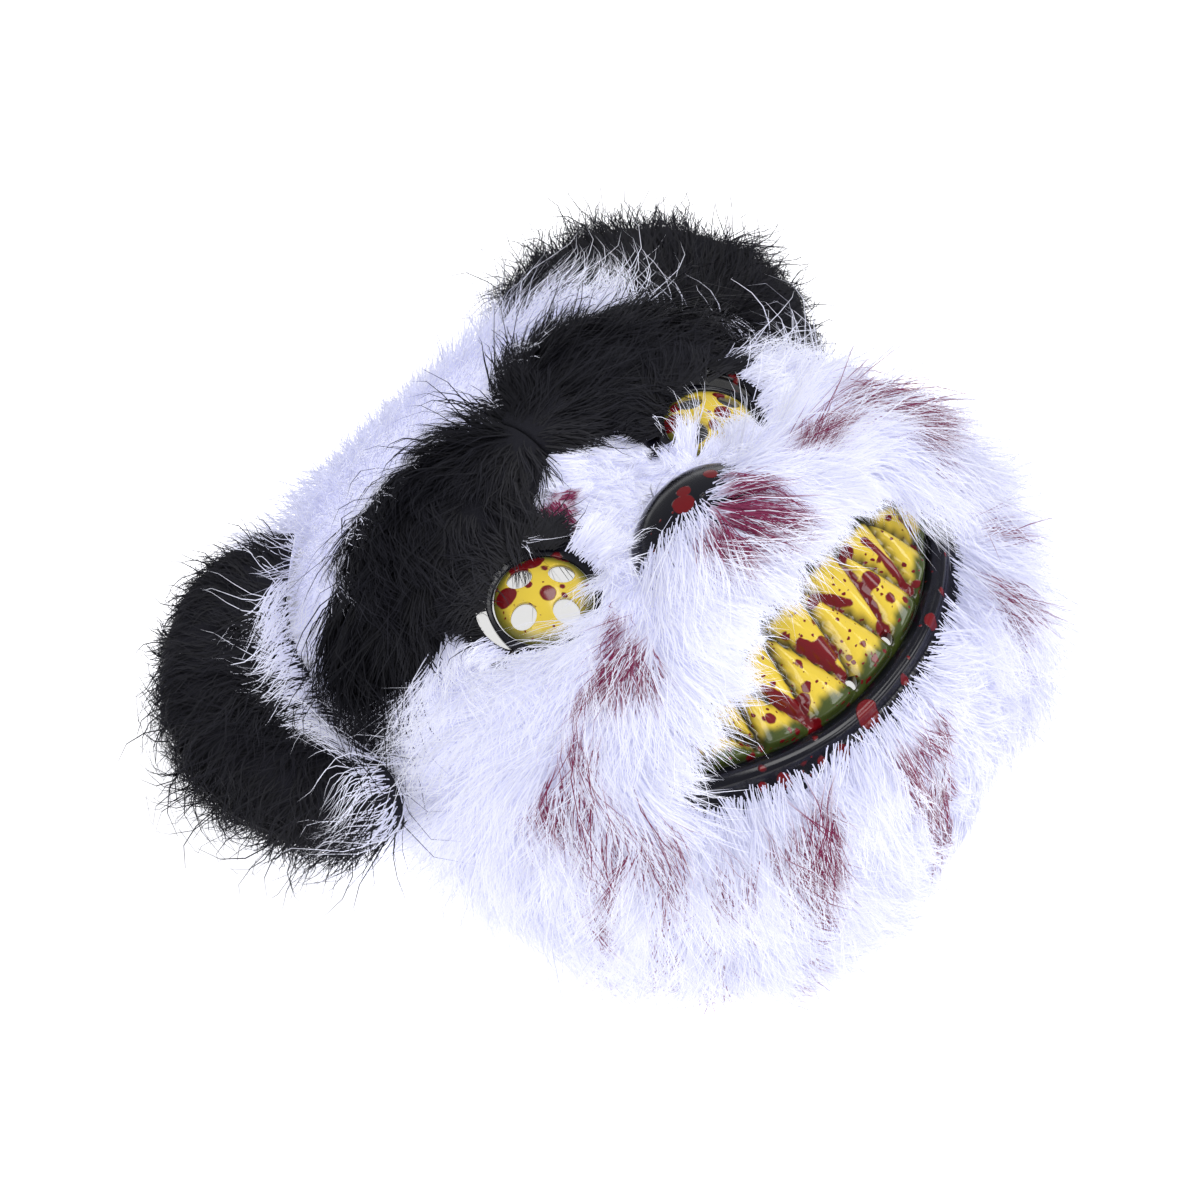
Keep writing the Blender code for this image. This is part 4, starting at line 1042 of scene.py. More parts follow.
    # strands that would reach far past the part bend back
    low, high = cadBox
    onFloor = put("ShaderNodeCombineXYZ")
    plug(onFloor.inputs[0], eased(split.outputs["X"], low[0] - 0.008, high[0] + 0.008, 0.0095))
    plug(onFloor.inputs[1], eased(split.outputs["Y"], low[1] - 0.007, high[1] + 0.007, 0.0095))
    raisedZ = eased(split.outputs["Z"], -1.0, high[2] + 0.005, 0.008)
    plug(onFloor.inputs[2], calc("MAXIMUM", raisedZ, calc("ADD", 0.0004, calc("MULTIPLY", t, 0.0012))))
    move = put("GeometryNodeSetPosition")
    plug(move.inputs["Geometry"], real.outputs["Geometry"])
    plug(move.inputs["Position"], onFloor.outputs[0])
    soft = put("GeometryNodeSetMeshNormal", mode="FREE", domain="POINT")
    plug(soft.inputs["Mesh"], move.outputs["Geometry"])
    lean = vector("ADD", normal, vector("SCALE", side, times(roll, given["Shade Lean"])))
    lean = vector("ADD", lean, vector("SCALE", ahead, times(t, 0.35)))
    plug(soft.inputs["Custom Normal"], vector("NORMALIZE", lean))
    finish = put("GeometryNodeSetMaterial")
    plug(finish.inputs["Geometry"], soft.outputs["Mesh"])
    plug(finish.inputs["Material"], given["Material"])
    plug(put("NodeGroupOutput").inputs["Geometry"], finish.outputs["Geometry"])
    return tree


strandTree = buildStrandTree()
strandInputs = {item.name: item.identifier for item in strandTree.interface.items_tree
                if item.in_out == "INPUT"}
keptLayers = ("along", "tone", "stain", "custom_normal")


# strands over an open grid of points; density is a share of the fullest growth
def growStrands(name, points, faces, flow, length, steep, density, material, slotName,
                stainAt=None, triangles=100000, hug=1.0, **values):
    ground = makeObject(name, points, faces)
    putVector(ground.data, "flow", flow)
    putFloat(ground.data, "furLength", length)
    putFloat(ground.data, "furSteep", steep)
    putFloat(ground.data, "furDensity", density)
    putFloat(ground.data, "furDrop", furDrop(ground.data, flow, length) * np.ravel(hug))
    segments = values.get("Segments", 4)
    area = 0.0
    share = np.asarray(density, float).ravel()
    for part in ground.data.polygons:
        ids = list(part.vertices)
        area += part.area * share[ids].mean()
    values["Density"] = triangles / (2.0 * segments - 1.0) / max(area, 1e-9)
    values["Segments"] = segments
    modifier = ground.modifiers.new("grow", "NODES")
    modifier.node_group = strandTree
    for title, value in values.items():
        modifier[strandInputs[title]] = value
    modifier[strandInputs["Material"]] = material
    plainMesh(ground)
    mesh = ground.data
    oneMaterial(mesh, material)
    for layer in [a.name for a in mesh.attributes if a.domain in ("POINT", "FACE", "CORNER")]:
        if layer not in keptLayers + ("position",) and not layer.startswith("."):
            found = mesh.attributes.get(layer)
            if found and not found.is_required:
                mesh.attributes.remove(found)
    mesh.shade_smooth()
    if stainAt:
        at = meshPoints(mesh)
        tone = np.zeros(len(at), np.float32)
        mesh.attributes["tone"].data.foreach_get("value", tone)
        putFloat(mesh, "stain", stainAt(at, tone))
    else:
        putFloat(mesh, "stain", np.zeros(len(mesh.vertices)))
    finishPiece(ground, slotName)
    count = len(mesh.vertices) // (2 * segments + 1)
    print(name, "strands:", count, "triangles:", count * (2 * segments - 1))
    return ground


def treeOf(points):
    tree = KDTree(len(points))
    for index, point in enumerate(points):
        tree.insert(point, index)
    tree.balance()
    return tree


# how far the ground falls away under a strand laid straight along it, in metres
def furDrop(mesh, flow, length):
    at = meshPoints(mesh)
    normal = np.zeros(len(at) * 3, np.float32)
    mesh.vertex_normals.foreach_get("vector", normal)
    normal = normal.reshape(-1, 3).astype(float)
    flow = np.asarray(flow, float).reshape(-1, 3)
    flat = flow - normal * (flow * normal).sum(1, keepdims=True)
    flat /= np.maximum(np.linalg.norm(flat, axis=1, keepdims=True), 1e-6)
    ends = at + flat * np.asarray(length, float).reshape(-1, 1) * 0.9
    tree = treeOf(at)
    near = np.array([tree.find(point)[1] for point in ends])
    away = ((ends - at[near]) * normal[near]).sum(1)
    return np.clip(away, 0.0, 14.0) * mm


# white coat

ear = dict(x=84.0, y=64.0, z=55.0, out=50.0, along=59.0, thick=38.0, cup=13.0, mean=54.0,
           turn=math.radians(33.0), tilt=math.radians(8.0))
# the ear's section: share of its radius, and height as a share of its thickness
earStations = ((0.0, 0.5 - ear["cup"] / ear["thick"]), (0.2, 0.17),
               (0.40, 0.5 - 0.80 * ear["cup"] / ear["thick"]), (0.66, 0.5 - 0.25 * ear["cup"] / ear["thick"]),
               (0.84, 0.48), (0.96, 0.26), (1.0, 0.0), (0.95, -0.28), (0.78, -0.44), (0.40, -0.5),
               (0.0, -0.5))
brow = dict(thick=16.0, seat=0.8)
# the brow's outline: x, lower y and upper y
browTable = np.array(((0.4, 44.0, 62.0), (8.0, 39.5, 69.0), (20.0, 34.5, 74.0), (36.0, 31.0, 76.5),
                      (52.0, 29.0, 73.0), (65.0, 28.0, 65.0), (74.0, 29.0, 57.0), (80.0, 33.0, 47.0)))


def browEdges(x):
    return [np.interp(x, browTable[:, 0], browTable[:, column]) for column in (1, 2)]


# stains: place and half sizes on the coat, turn in degrees and strength
stains = (
    (1.5, -29.5, 14.5, 11.5, 0.0, 0.74),
    (-54.0, -26.0, 11.0, 9.5, 30.0, 0.66),
    (-84.0, -31.0, 9.0, 10.0, -20.0, 0.60),
    (-88.0, -46.0, 8.0, 10.0, -20.0, 0.52),
    (-83.0, -61.0, 7.0, 9.0, 0.0, 0.42),
    (-53.0, -91.0, 10.5, 9.0, 0.0, 0.60),
    (-73.5, -79.0, 7.0, 6.0, 0.0, 0.42),
    (-9.0, -103.0, 10.5, 9.0, 0.0, 0.58),
    (49.0, -24.0, 13.0, 5.5, -15.0, 0.66),
    (80.0, -34.0, 12.0, 18.0, 0.0, 0.74),
    (50.0, -94.0, 8.0, 9.0, 20.0, 0.56),
    (71.0, -77.0, 4.0, 8.0, 20.0, 0.44),
    (-15.0, 27.5, 7.0, 5.5, 0.0, 1.2),
    (-20.0, 20.0, 2.5, 2.0, 0.0, 0.9),
)


def stainField(points):
    field = np.zeros(len(points))
    for x, y, halfX, halfY, turn, strength in stains:
        c, s = math.cos(math.radians(turn)), math.sin(math.radians(turn))
        dx, dy = points[:, 0] - x, points[:, 1] - y
        out = np.hypot((dx * c + dy * s) / halfX, (dy * c - dx * s) / halfY)
        bearing = np.arctan2(dy, dx)      # uneven outlines
        out *= (1.0 + 0.20 * np.sin(3.0 * bearing + x) + 0.12 * np.sin(7.0 * bearing + 2.0 * y)
                + 0.07 * np.sin(13.0 * bearing))
        field = np.maximum(field, strength * smoothStep(out, 1.28, 0.84))
    return field


def stainOnStrands(points, tone):
    return smoothStep(stainField(points) * 0.8 - tone, 0.0, 0.06)


grid = dict(rings=70, segments=220)
angles = np.linspace(0.0, 2.0 * math.pi, grid["segments"], endpoint=False)
walksOut = np.linspace(0.002, 1.0, grid["rings"])
gridAngle, gridWalk = np.meshgrid(angles, walksOut)
footX, footY = footOn(gridAngle, gridWalk)


# 1 on the flatter side of the chin, 0 away from it
def chinShare(x, y):
    return smoothStep(y, -64.0, -98.0) * smoothStep(x, -45.0, -5.0) * smoothStep(x, 52.0, 24.0)


# the coat's outer surface at a share of the fur's depth
def coatPoints(share, foot=None):
    share = share * (1.0 - 0.45 * chinShare(footX, footY))
    points = onShell(footX, footY, 0.75 + (furDepth(footX, footY) - 0.75) * share)
    if foot is not None:
        points[..., 2] = np.maximum(points[..., 2], foot + 1.0)
        points[-1, :, 2] = foot
    return points


def coatSkin(name, share, material):
    kept = list(range(0, grid["rings"] - 1, 2)) + [grid["rings"] - 1]
    upper = coatPoints(share, fur["foot"])[kept, ::2]
    lower = coatPoints(0.0, fur["foot"])[kept, ::2]
    rows, columns = upper.shape[:2]
    count = rows * columns
    faces = gridFaces(rows, columns, closed=True)
    faces += gridFaces(rows, columns, start=count, closed=True, flip=True)
    last = (rows - 1) * columns
    for j in range(columns):
        k = (j + 1) % columns
        faces.append((last + j, last + k, count + last + k, count + last + j))
    faces.append(tuple(range(columns))[::-1])
    faces.append(tuple(count + j for j in range(columns)))
    points = np.concatenate([upper.reshape(-1, 3), lower.reshape(-1, 3)])
    return facesOut(makeObject(name, points, faces, material))


def browGrid(side, edgeLift, middleLift, border, stations=60, across=28):
    inner, outer = browTable[0, 0], browTable[-1, 0]
    share = np.linspace(0.0, 1.0, stations)
    place = inner + (outer - inner) * share
    x = place.copy()
    if border:
        x[0] -= 1.4
        x[-1] += border
    low, high = browEdges(place)
    low, high = low - border, high + border
    turn = np.linspace(0.0, 1.0, across)
    bulge = np.sin(np.pi * turn).clip(0.0) ** 0.6
    bulge[[0, -1]] = 0.0
    fade = 1.0 - 0.45 * share ** 6
    fade[-1] = 0.0
    lift = edgeLift + (middleLift - edgeLift) * bulge[None, :] * fade[:, None]
    y = low[:, None] + (high - low)[:, None] * turn[None, :]
    return onShell(np.repeat((x * side)[:, None], across, 1), y, lift)


splitLine = ((0.0, 53.0), (40.0, 52.0), (66.0, 44.0), (80.0, 34.0), (92.0, 27.0), (140.0, 24.0))
jawLine = -49.0
coatShares = dict(fur_forehead=0.72, fur_face=0.44, fur_jaw=0.44)     # backing's height in the fur's depth


def eyeRoom(side):
    outline = ovalOutline(eye["x"] * side, eye["y"], eye["socket"] + 1.6, eye["socket"] + 1.4, 60)
    return boxOver("eyeRoom", outline, 20.0, 160.0)


def buildCoatSkins():
    right = list(splitLine)
    split = [(-x, y) for x, y in right[:0:-1]] + right
    regions = dict(
        fur_forehead=[(x, y + 0.2) for x, y in split] + [(140.0, 150.0), (-140.0, 150.0)],
        fur_face=[(-140.0, jawLine + 0.2), (140.0, jawLine + 0.2)] + [(x, y - 0.2) for x, y in split[::-1]],
        fur_jaw=[(-140.0, -160.0), (140.0, -160.0), (140.0, jawLine - 0.2), (-140.0, jawLine - 0.2)],
    )
    pieceNames = dict(fur_forehead="foreheadBacking", fur_face="faceBacking", fur_jaw="jawBacking")
    for nodeName, outline in regions.items():
        skin = coatSkin(pieceNames[nodeName], coatShares[nodeName], materials["whiteBacking"])
        carve(skin, [boxOver("region", outline, -20.0, 180.0)], "INTERSECT")
        tools = []
        if nodeName != "fur_jaw":
            for side, word in sides:
                upper, lower = (browGrid(side, lift, lift, 0.75) for lift in (34.0, -3.0))
                tools.append(thickSheet("browRoom", upper, lower))
        if nodeName == "fur_face":
            outline = ovalOutline(0.0, nose["y"], nose["halfX"] * 1.06 + 1.4, nose["halfY"] + 1.6, 48)
            tools.append(boxOver("noseRoom", outline, 20.0, 160.0))
            tools += [eyeRoom(side) for side, word in sides]
        if nodeName != "fur_forehead":
            tools.append(shellRoom("mouthRoom", lipOutline(1.0 + 0.7 / lip["reach"], 60), -4.0, 40.0))
        carve(skin, tools)
        points = meshPoints(skin.data)
        putFloat(skin.data, "stain", stainField(points) * 0.4)
        finishPiece(skin, "white_fur", nodeName)


buildCoatSkins()
print("coat backing built")


def ovalShare(x, y, middleX, middleY, halfX, halfY):
    return np.hypot((x - middleX) / halfX, (y - middleY) / halfY)


# 1 under a brow patch, 0 outside it
def browShare(x, y):
    side = np.abs(x)
    low, high = browEdges(side)
    return ((y > low - 0.5) & (y < high - 1.0) & (side < browTable[-1, 0])).astype(float)


lipLine = lipOutline(1.0, 90)


def insideOutline(x, y, outline):
    inside = np.zeros(x.shape, bool)
    for (ax, ay), (bx, by) in zip(outline, np.roll(outline, -1, 0)):
        crosses = ((ay > y) != (by > y)) & (x < (bx - ax) * (y - ay) / (by - ay + 1e-12) + ax)
        inside ^= crosses
    return inside


# height of the nose over the hard face, 0 outside it
def noseLift(x, y):
    turn = np.arctan2((y - nose["y"]) / nose["halfY"], x / nose["halfX"])
    size = np.hypot(x / (nose["halfX"] * (1.0 + 0.10 * np.sin(turn))), (y - nose["y"]) / nose["halfY"])
    known = np.array(noseRises)
    return np.where(size < 1.0, nose["gap"] + nose["rise"] * np.interp(size, known[:, 0], known[:, 1]), 0.0)


lipEdge = lipOutline(0.5, 90)      # the fur starts on the outer half of the lip


# 1 at a place, fading to 0 round it
def around(x, y, middleX, middleY, halfX, halfY):
    return np.exp(-0.5 * ovalShare(x, y, middleX, middleY, halfX, halfY) ** 2)


# distance in mm from the nearer ear's surface, below 0 inside the ear
def earSeam(points):
    x, y, z = np.abs(points[..., 0]) - ear["x"], points[..., 1] - ear["y"], points[..., 2] - ear["z"]
    out = x * math.cos(ear["turn"]) + y * math.sin(ear["turn"])
    along = y * math.cos(ear["turn"]) - x * math.sin(ear["turn"])
    size = np.hypot(out / ear["out"], along / ear["along"])
    known = np.array(earStations[:7])
    top = np.interp(size, known[:, 0], known[:, 1]) * (ear["thick"] - 6.0)
    height = z - math.sin(ear["tilt"]) * out
    return np.maximum((size - 0.95) * 50.0, np.maximum(height - top, -height - 0.5 * ear["thick"] + 3.0))


# where the white coat grows, how long and how steep it is, and which way it is combed
def coatGrowth():
    x, y = footX, footY
    side = np.abs(x)
    free = 1.0 - browShare(x, y)
    overNose = ovalShare(x, y, 0.0, nose["y"], nose["halfX"] * 1.03, nose["halfY"] + 0.5) < 1.0
    free *= np.where(overNose, y < nose["y"] - 0.5 + 0.012 * x * x, 1.0)
    free *= ovalShare(side, y, eye["x"], eye["y"], eye["socket"] + 0.4, eye["socket"] + 0.4) > 1.0
    free *= ~insideOutline(x, y, lipEdge)
    free *= ovalShare(side, y, 24.0, 28.5, 5.0, 4.5) > 1.0
    length = 29.0 + (13.5 - 29.0) * smoothStep(y + 0.10 * side, 30.0, 58.0)
    bridge = smoothStep(side, 32.0, 20.0) * smoothStep(y, -6.0, 6.0)
    length += (6.5 - length) * bridge
    length *= 1.0 - 0.45 * chinShare(x, y)
    length += 4.0 * around(x, y, 74.0, -30.0, 22.0, 34.0) + 5.0 * around(x, y, 72.0, -20.0, 14.0, 20.0)
    length += 8.0 * around(x, y, 56.0, -80.0, 18.0, 16.0) + 5.0 * around(x, y, -74.0, -62.0, 16.0, 22.0)
    length += 5.0 * smoothStep(y, 70.0, 92.0)
    gumY = gumLine(np.clip(x, -mouth["half"], mouth["half"]), gumUpper)
    toGum = (y - gumY + 3.5 + 5.0 * smoothStep(x, -15.0, -45.0)) / 0.85
    overMouth = (x > -62.0) * (x < 44.0) * (y > gumY - 2.0) * (y < nose["y"])
    length = np.where(overMouth > 0.5, np.minimum(length, np.maximum(toGum, 5.0)), length)
    length = np.maximum(length, 5.0) * (0.5 + 0.5 * smoothStep(shellHeight(x, y), 0.0, 34.0))
    steep = (1.0 + 0.9 * around(x, y, 0.0, -30.0, 24.0, 10.0)
             + 2.1 * smoothStep(x, 52.0, 72.0) * around(x, y, 78.0, -46.0, 60.0, 30.0))
    steep += (0.9 * smoothStep(y, 62.0, 84.0) - 0.6 * chinShare(x, y)
              + 1.2 * around(x, y, 54.0, -84.0, 18.0, 14.0))
    seam = earSeam(upperCoat)
    free *= seam > -0.5
    byEar = smoothStep(seam, 8.0, 1.0)
    length += (20.0 - length) * byEar
    steep += (0.7 + 0.5 * smoothStep(x, -30.0, 30.0)) * byEar - 0.8 * around(side, y, 80.0, 38.0, 9.0, 12.0)
    bySocket = smoothStep(ovalShare(side, y, eye["x"], eye["y"], eye["socket"], eye["socket"]), 1.5, 1.05)
    steep += 1.0 * bySocket
    length -= 0.35 * length * bySocket
    free *= 1.0 + 1.0 * bySocket
    swirl = (0.30 * np.sin(x / 9.0 + 1.3 * np.sin(y / 13.0))
             + 0.26 * np.sin(y / 8.0 - 1.1 * np.sin(x / 15.0) + 0.8))
    swirl *= 1.0 - 0.8 * smoothStep(y, 40.0, 60.0)
    turned = np.arctan2(y + 10.0 - 18.0 * smoothStep(y, -8.0, -24.0), x) + swirl
    flow = np.stack([np.cos(turned), np.sin(turned), np.full_like(x, -0.45)], -1)
    flow += 0.9 * around(x, y, 0.0, -25.0, 15.0, 9.0)[..., None] * (np.array((0.5, -0.9, -0.2)) - flow)
    overGum = (y - gumY) * (y < nose["y"] + 12.0)
    hang = smoothStep(overGum, 20.0, 5.0) * smoothStep(overGum, -6.0, -1.0) * smoothStep(side, 72.0, 60.0)
    flow += hang[..., None] * (np.array((0.0, -1.1, -0.1)) - flow)
    flow[..., 2] += 0.55 * byEar
    free *= 1.0 + 1.6 * insideOutline(x, y, lipOutline(1.4, 90))
    hug = 1.0 - 0.95 * byEar      # beside an ear the hair lies over it, not along the head
    return free, length, steep, flow, hug


splitY = np.interp(np.abs(footX), [p[0] for p in splitLine], [p[1] for p in splitLine])
upperCoat = coatPoints(0.5 + 0.22 * smoothStep(footY - splitY, -1.0, 6.0), fur["foot"])
free, furLengths, furSteep, furFlow, furHug = coatGrowth()
overNose = noseLift(footX, footY)
raised = onShell(footX, footY, overNose + 0.6)
higher = (overNose > 0.0)[..., None] & (raised[..., 2:] > upperCoat[..., 2:])
upperCoat = np.where(higher, raised, upperCoat)
upperCoat = np.where(insideOutline(footX, footY, lipLine)[..., None], onShell(footX, footY, 6.6), upperCoat)
coatFaces = gridFaces(grid["rings"], grid["segments"], closed=True, flip=True)
sideLow = smoothStep(upperCoat[..., 2], 1.0, 10.0)
inMuzzle = (np.abs(footX) < 48.0) & (footY > -60.0)
regions = dict(
    forehead=footY > splitY,
    muzzle=(footY <= splitY) & inMuzzle,
    cheekLeft=(footY <= splitY) & (footX <= -48.0) & (footY > jawLine),
    cheekRight=(footY <= splitY) & (footX >= 48.0) & (footY > jawLine),
    jawLeft=(footX < 0.0) & (footY <= jawLine) & ~inMuzzle,
    jawRight=(footX >= 0.0) & (footY <= jawLine) & ~inMuzzle,
)
longFur = dict(Length=mm, Width=0.00036, Lift=0.42, Droop=0.5, Curl=0.13, Spread=0.5, Clump=0.7,
               Wisps=0.06, Segments=4)
longFur["Clump Density"], longFur["Curl Turns"] = 2.2e4, 0.5
shortFur = dict(longFur, Width=0.00036, Lift=0.5, Droop=0.3, Clump=0.3, Segments=3, Wisps=0.01)
shortFur["Clump Density"] = 1.0e5
strandBudgets = dict(forehead=76000, muzzle=108000, cheekLeft=78000, cheekRight=78000,
                     jawLeft=74000, jawRight=74000)
for number, (regionName, chosen) in enumerate(regions.items()):
    look, values = ("shortStrandBrighterGlow", shortFur) if regionName == "forehead" else ("whiteStrand", longFur)
    growStrands(regionName + "Fur", upperCoat, coatFaces, furFlow, furLengths, furSteep,
                free * chosen * sideLow, materials[look], "white_fur", stainOnStrands,
                triangles=strandBudgets[regionName], hug=furHug, Seed=40 + number, **values)


# black brows

def browFlow(points, side):
    x, y = np.abs(points[..., 0]), points[..., 1]
    low, high = browEdges(x)
    share = (y - low) / (high - low)
    down = smoothStep(share, 0.55, 0.0)
    away = np.zeros(points.shape)
    away[..., 0] = side * (1.0 - 0.45 * down * smoothStep(x, 62.0, 40.0))
    inner = smoothStep(x, 22.0, 4.0) * smoothStep(share, 0.3, 0.9)
    away[..., 0] *= 1.0 - 0.5 * inner
    away[..., 1] = 1.0 * inner - 0.8 * down - 0.5 * smoothStep(x, 14.0, 50.0)
    away[..., 2] = -0.2
    return away


browFur = dict(Length=mm, Width=0.0005, Lift=0.34, Droop=0.6, Curl=0.13, Spread=0.5, Clump=0.8,
               Wisps=0.05, Segments=4)
browFur["Clump Density"], browFur["Curl Turns"] = 2.0e4, 0.55


def buildBrow(side, word):
    upper = browGrid(side, brow["thick"] * 0.45, brow["thick"] * 0.72, 0.0)
    lower = browGrid(side, brow["seat"], brow["seat"], 0.0)
    patch = thickSheet("browBacking_" + word, upper, lower, materials["blackBacking"])
    carve(patch, [eyeRoom(side)])
    putFloat(patch.data, "stain", np.zeros(len(patch.data.vertices)))
    finishPiece(patch, "black_fur", "brow_patch_" + word)
    points = browGrid(side, brow["thick"] * 0.40, brow["thick"] * 0.66, 0.0)
    x, y = points[..., 0], points[..., 1]
    clear = ovalShare(np.abs(x), y, eye["x"], eye["y"], eye["socket"] + 1.0, eye["socket"] + 1.0) > 1.0
    faces = gridFaces(*points.shape[:2], flip=side > 0.0)
    lengths = 20.0 + 13.0 * smoothStep(np.abs(x), 48.0, 76.0)
    lengths *= 1.0 - 0.62 * around(np.abs(x), y, 58.0, 30.0, 11.0, 7.0)
    low, high = browEdges(np.abs(x))
    steep = (1.0 + 0.9 * smoothStep((y - low) / (high - low), 0.45, 0.9)
             + 0.7 * smoothStep(np.abs(x), 62.0, 78.0))
    growStrands("browFur_" + word, points, faces, browFlow(points, side), lengths, steep, clear,
                materials["blackStrand"], "black_fur", triangles=58000, Seed=61 + int(side), **browFur)


# short hair rooted on the socket's rim: black on the brow's side, white on the rest
def buildRimFur(side, word):
    turns = np.linspace(-math.pi, math.pi, 90)
    radii = np.linspace(eye["radius"] + 1.6, eye["socket"] + 0.8, 9)
    gridTurn, gridRadius = np.meshgrid(turns, radii)
    height = 0.9 + 2.2 * smoothStep(gridRadius, eye["radius"], eye["socket"] - 1.6)
    points = eyePlace(side)(gridRadius * np.cos(gridTurn), gridRadius * np.sin(gridTurn), height)
    degrees = np.degrees(gridTurn)
    faces = gridFaces(*points.shape[:2], flip=side > 0.0)
    out = points - eyePlace(side)(0.0, 0.0, 0.0)
    out /= np.linalg.norm(out, axis=-1, keepdims=True)
    outer = (gridRadius > eye["slitOuter"] + 0.4) * 1.0
    black = np.maximum(smoothStep(degrees, 36.0, 46.0), outer * smoothStep(degrees, 12.0, 20.0))
    black *= smoothStep(degrees, 158.0, 146.0)
    white = np.maximum(smoothStep(degrees, -14.0, -24.0), smoothStep(degrees, 162.0, 172.0))
    white = np.maximum(white, outer * smoothStep(degrees, 14.0, 8.0) * (degrees > -30.0))
    even = np.ones(black.size)
    ways = 0.5 * browFlow(points, side) + out
    growStrands("browRimFur_" + word, points, faces, ways, even * 11.0, even, black,
                materials["blackStrand"], "black_fur", triangles=14000, Seed=71 + int(side),
                **dict(browFur, Lift=0.35))
    # hair lying over the far dome
    over = smoothStep(degrees, -45.0, -80.0) if side > 0.0 else np.zeros(degrees.shape)
    ways = out * (1.0 - 2.2 * over)[..., None] + (0.0, -0.15, 0.25)
    white = white * smoothStep(gridRadius, eye["radius"] + 1.6, eye["radius"] + 3.4)
    growStrands("eyeRimFur_" + word, points, faces, ways, 11.0 + 5.0 * over, even, white,
                materials["whiteStrand"], "white_fur", triangles=18000, Seed=75 + int(side),
                **dict(longFur, Lift=0.7, Curl=0.12))


for eyeSide, eyeWord in sides:
    buildBrow(eyeSide, eyeWord)
    buildRimFur(eyeSide, eyeWord)
print("brows built")


# ears

def earPoint(side, turn, radius, height):
    out = np.cos(turn) * ear["out"] * radius
    along = np.sin(turn) * ear["along"] * radius
    lean = math.sin(ear["tilt"]) * out
    x = ear["x"] + math.cos(ear["turn"]) * out - math.sin(ear["turn"]) * along
    y = ear["y"] + math.sin(ear["turn"]) * out + math.cos(ear["turn"]) * along
    return np.stack([x * side, y, ear["z"] + height + lean], -1)


def earRings(side, shrink, segments=72, count=44):
    known = np.array(earStations)
    steps = np.hypot(np.diff(known[:, 0] * ear["mean"]), np.diff(known[:, 1] * ear["thick"]))
    walked = np.concatenate(([0.0], np.cumsum(steps)))
    fine = np.linspace(0.0, walked[-1], count)
    radius = np.interp(fine, walked, known[:, 0])
    height = np.interp(fine, walked, known[:, 1])
    for values in (radius, height):
        inner = np.convolve(np.pad(values, 2, mode="edge"), (0.1, 0.2, 0.4, 0.2, 0.1), mode="valid")
        values[2:-2] = inner[2:-2]
    radius = np.maximum(radius, 0.004)
    turns = np.linspace(0.0, 2.0 * math.pi, segments, endpoint=False)
    gridTurn, gridRadius = np.meshgrid(turns, radius)
    gridRadius = gridRadius * (1.0 - shrink / ear["mean"])
    gridHeight = np.repeat((height * ear["thick"])[:, None], segments, 1)
    gridHeight = gridHeight * (1.0 - 2.0 * shrink / ear["thick"])
    return earPoint(side, gridTurn, gridRadius, gridHeight)


headGrid = coatPoints(1.0).reshape(-1, 3)
headNormals = shellNormal(footX, footY).reshape(-1, 3)
headTree = treeOf(headGrid)


# how far points lie outside the head's fur, in mm
def overHead(points):
    away = []
    for point in points:
        found, index, distance = headTree.find(point)
        away.append(float(np.dot(point - headGrid[index], headNormals[index])))
    return np.array(away)


earFur = dict(Length=mm, Width=0.00045, Lift=0.30, Droop=0.4, Curl=0.18, Spread=0.6, Clump=0.75,
              Wisps=0.10, Segments=5)
earFur["Clump Density"], earFur["Curl Turns"] = 1.5e4, 0.65
tuftFur = dict(Length=mm, Width=0.0004, Lift=0.5, Droop=0.6, Curl=0.22, Spread=0.45, Clump=0.85,
               Wisps=0.1, Segments=6)
tuftFur["Clump Density"], tuftFur["Curl Turns"] = 1.2e4, 0.7


def headRoom():
    points = onShell(footX, footY, furDepth(footX, footY) + 0.45)
    points[-1, :, 2] = -10.0
    faces = gridFaces(grid["rings"], grid["segments"], closed=True) + endCaps(grid["rings"], grid["segments"])
    return facesOut(makeObject("headRoom", points, faces, smooth=False))


def buildEar(side, word):
    points = earRings(side, 3.0)
    rows, columns = points.shape[:2]
    faces = gridFaces(rows, columns, closed=True) + endCaps(rows, columns)
    pad = facesOut(makeObject("earPad_" + word, points, faces, materials["blackBacking"]))
    carve(pad, [headRoom()])
    putFloat(pad.data, "stain", np.zeros(len(pad.data.vertices)))
    finishPiece(pad, "black_fur", "ear_" + word)
    points = earRings(side, 3.6)
    spots = points.reshape(-1, 3)
    away = overHead(spots)
    outside = smoothStep(away, 0.5, 3.0)
    middle = earPoint(side, np.array(0.0), np.array(0.0), np.array(0.0))
    flow = points - (middle - np.array((side * 18.0, 10.0, 0.0)))
    flow[..., 2] *= 0.3
    flow /= np.linalg.norm(flow, axis=-1, keepdims=True)
    x, y, z = spots.T
    if side < 0.0:
        lengths = 21.0 - 8.0 * smoothStep(y, 72.0, 98.0)
    else:
        lengths = 21.0 + 3.0 * smoothStep(y, 85.0, 110.0) - 8.0 * smoothStep(y, 56.0, 30.0)
    faces = gridFaces(rows, columns, closed=True, flip=side > 0.0)
    even = np.ones(len(spots))
    growStrands("earFur_" + word, points, faces, flow, lengths, even, outside, materials["blackStrand"],
                "black_fur", triangles=62000, Seed=83 + int(side), **earFur)
    seam = smoothStep(away, 0.3, 1.2) * smoothStep(away, 6.0, 2.0) * smoothStep(z, 20.0, 34.0)
    if side > 0.0:      # the far ear is white over the upper half of its base only
        along = (y - ear["y"]) * math.cos(ear["turn"]) - (x - ear["x"]) * math.sin(ear["turn"])
        seam *= 1.0 - 0.8 * smoothStep(along, 5.0, -18.0)
    up = np.tile((side * 0.85, 0.55, 0.15), (len(spots), 1))
    growStrands("earTuft_" + word, points, faces, up, even * 22.0, even, seam, materials["whiteStrand"],
                "white_fur", triangles=13000, Seed=93 + int(side), **tuftFur)


for eyeSide, eyeWord in sides:
    buildEar(eyeSide, eyeWord)
print("ears built")

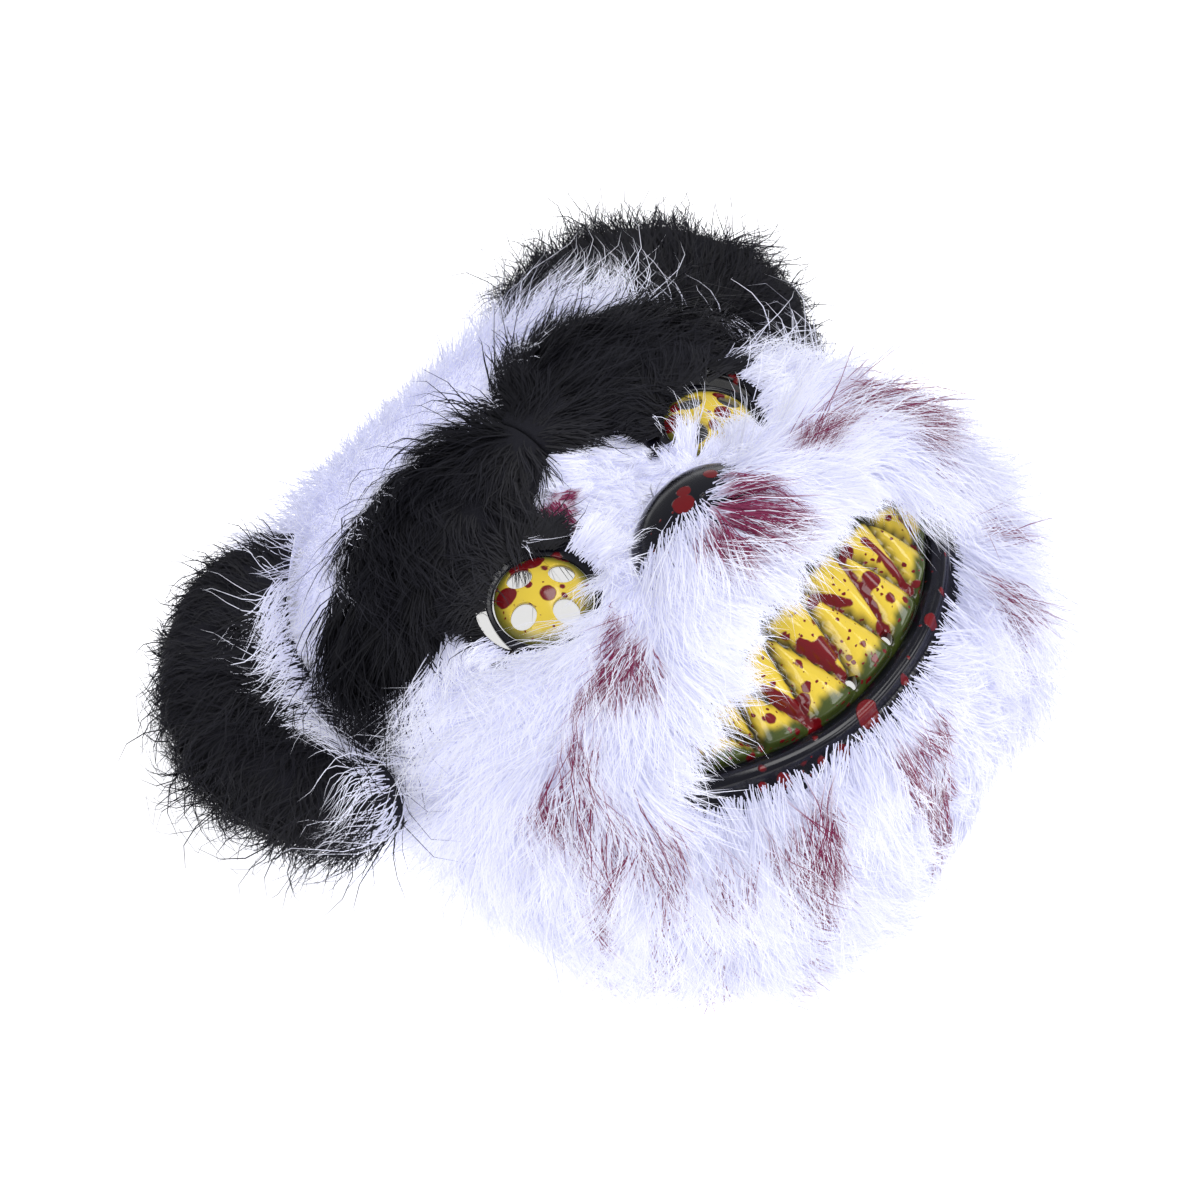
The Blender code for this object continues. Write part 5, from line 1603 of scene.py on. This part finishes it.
# studio: pale floor, soft lights and the camera

studio = dict(floorColour=(0.93, 0.93, 0.95), floorGlow=0.74, floorSize=6.0,
              airColour=(0.93, 0.94, 1.0, 1.0), airStrength=0.39, aim=(0.0, 0.0, 0.05),
              cameraPlace=(-0.2525, -0.1702, 0.5104), lens=52.5)
floorMaterial, floorShader = newMaterial("paleFloor", studio["floorColour"], 0.6)[::2]
floorShader.inputs["Emission Color"].default_value = (1.0, 1.0, 1.0, 1.0)
floorShader.inputs["Emission Strength"].default_value = studio["floorGlow"]
bpy.ops.mesh.primitive_plane_add(size=studio["floorSize"])
floor = bpy.context.object
floor.name = "paleFloor"
floor.data.materials.append(floorMaterial)

world = bpy.data.worlds.new("studioAir")
scene.world = world
world.use_nodes = True
air = world.node_tree.nodes["Background"]
air.inputs["Color"].default_value = studio["airColour"]
air.inputs["Strength"].default_value = studio["airStrength"]

lights = (
    dict(name="softTop", place=(0.30, -0.15, 1.25), power=7.6, wide=0.9, tall=0.5),
    dict(name="softLeft", place=(-1.15, -0.25, 0.75), power=5.2, wide=0.5, tall=0.9),
    dict(name="softFront", place=(0.55, -1.05, 0.85), power=6.2, wide=0.9, tall=0.5),
)
for row in lights:
    data = bpy.data.lights.new(row["name"], "AREA")
    data.shape, data.size, data.size_y, data.energy = "RECTANGLE", row["wide"], row["tall"], row["power"]
    lamp = bpy.data.objects.new(row["name"], data)
    lamp.location = row["place"]
    lamp.rotation_mode = "QUATERNION"
    lamp.rotation_quaternion = (Vector(studio["aim"]) - Vector(row["place"])).to_track_quat("-Z", "Y")
    scene.collection.objects.link(lamp)

cameraData = bpy.data.cameras.new("studioCamera")
cameraData.lens, cameraData.sensor_width = studio["lens"], 36.0
cameraData.clip_start, cameraData.clip_end = 0.01, 20.0
camera = bpy.data.objects.new("studioCamera", cameraData)
right = (0.61000687, -0.79239612, 0.0)
up = (0.65692616, 0.50571862, 0.5591929)
back = (-0.44310229, -0.34111151, 0.82903757)
aimed = Matrix((right, up, back)).transposed().to_4x4()
camera.matrix_world = Matrix.Translation(studio["cameraPlace"]) @ aimed
scene.collection.objects.link(camera)
scene.camera = camera
scene.view_settings.view_transform = "Standard"

total = 0
for made in scene.objects:
    if made.type == "MESH":
        made.data.calc_loop_triangles()
        total += len(made.data.loop_triangles)
print("triangles in all:", total)
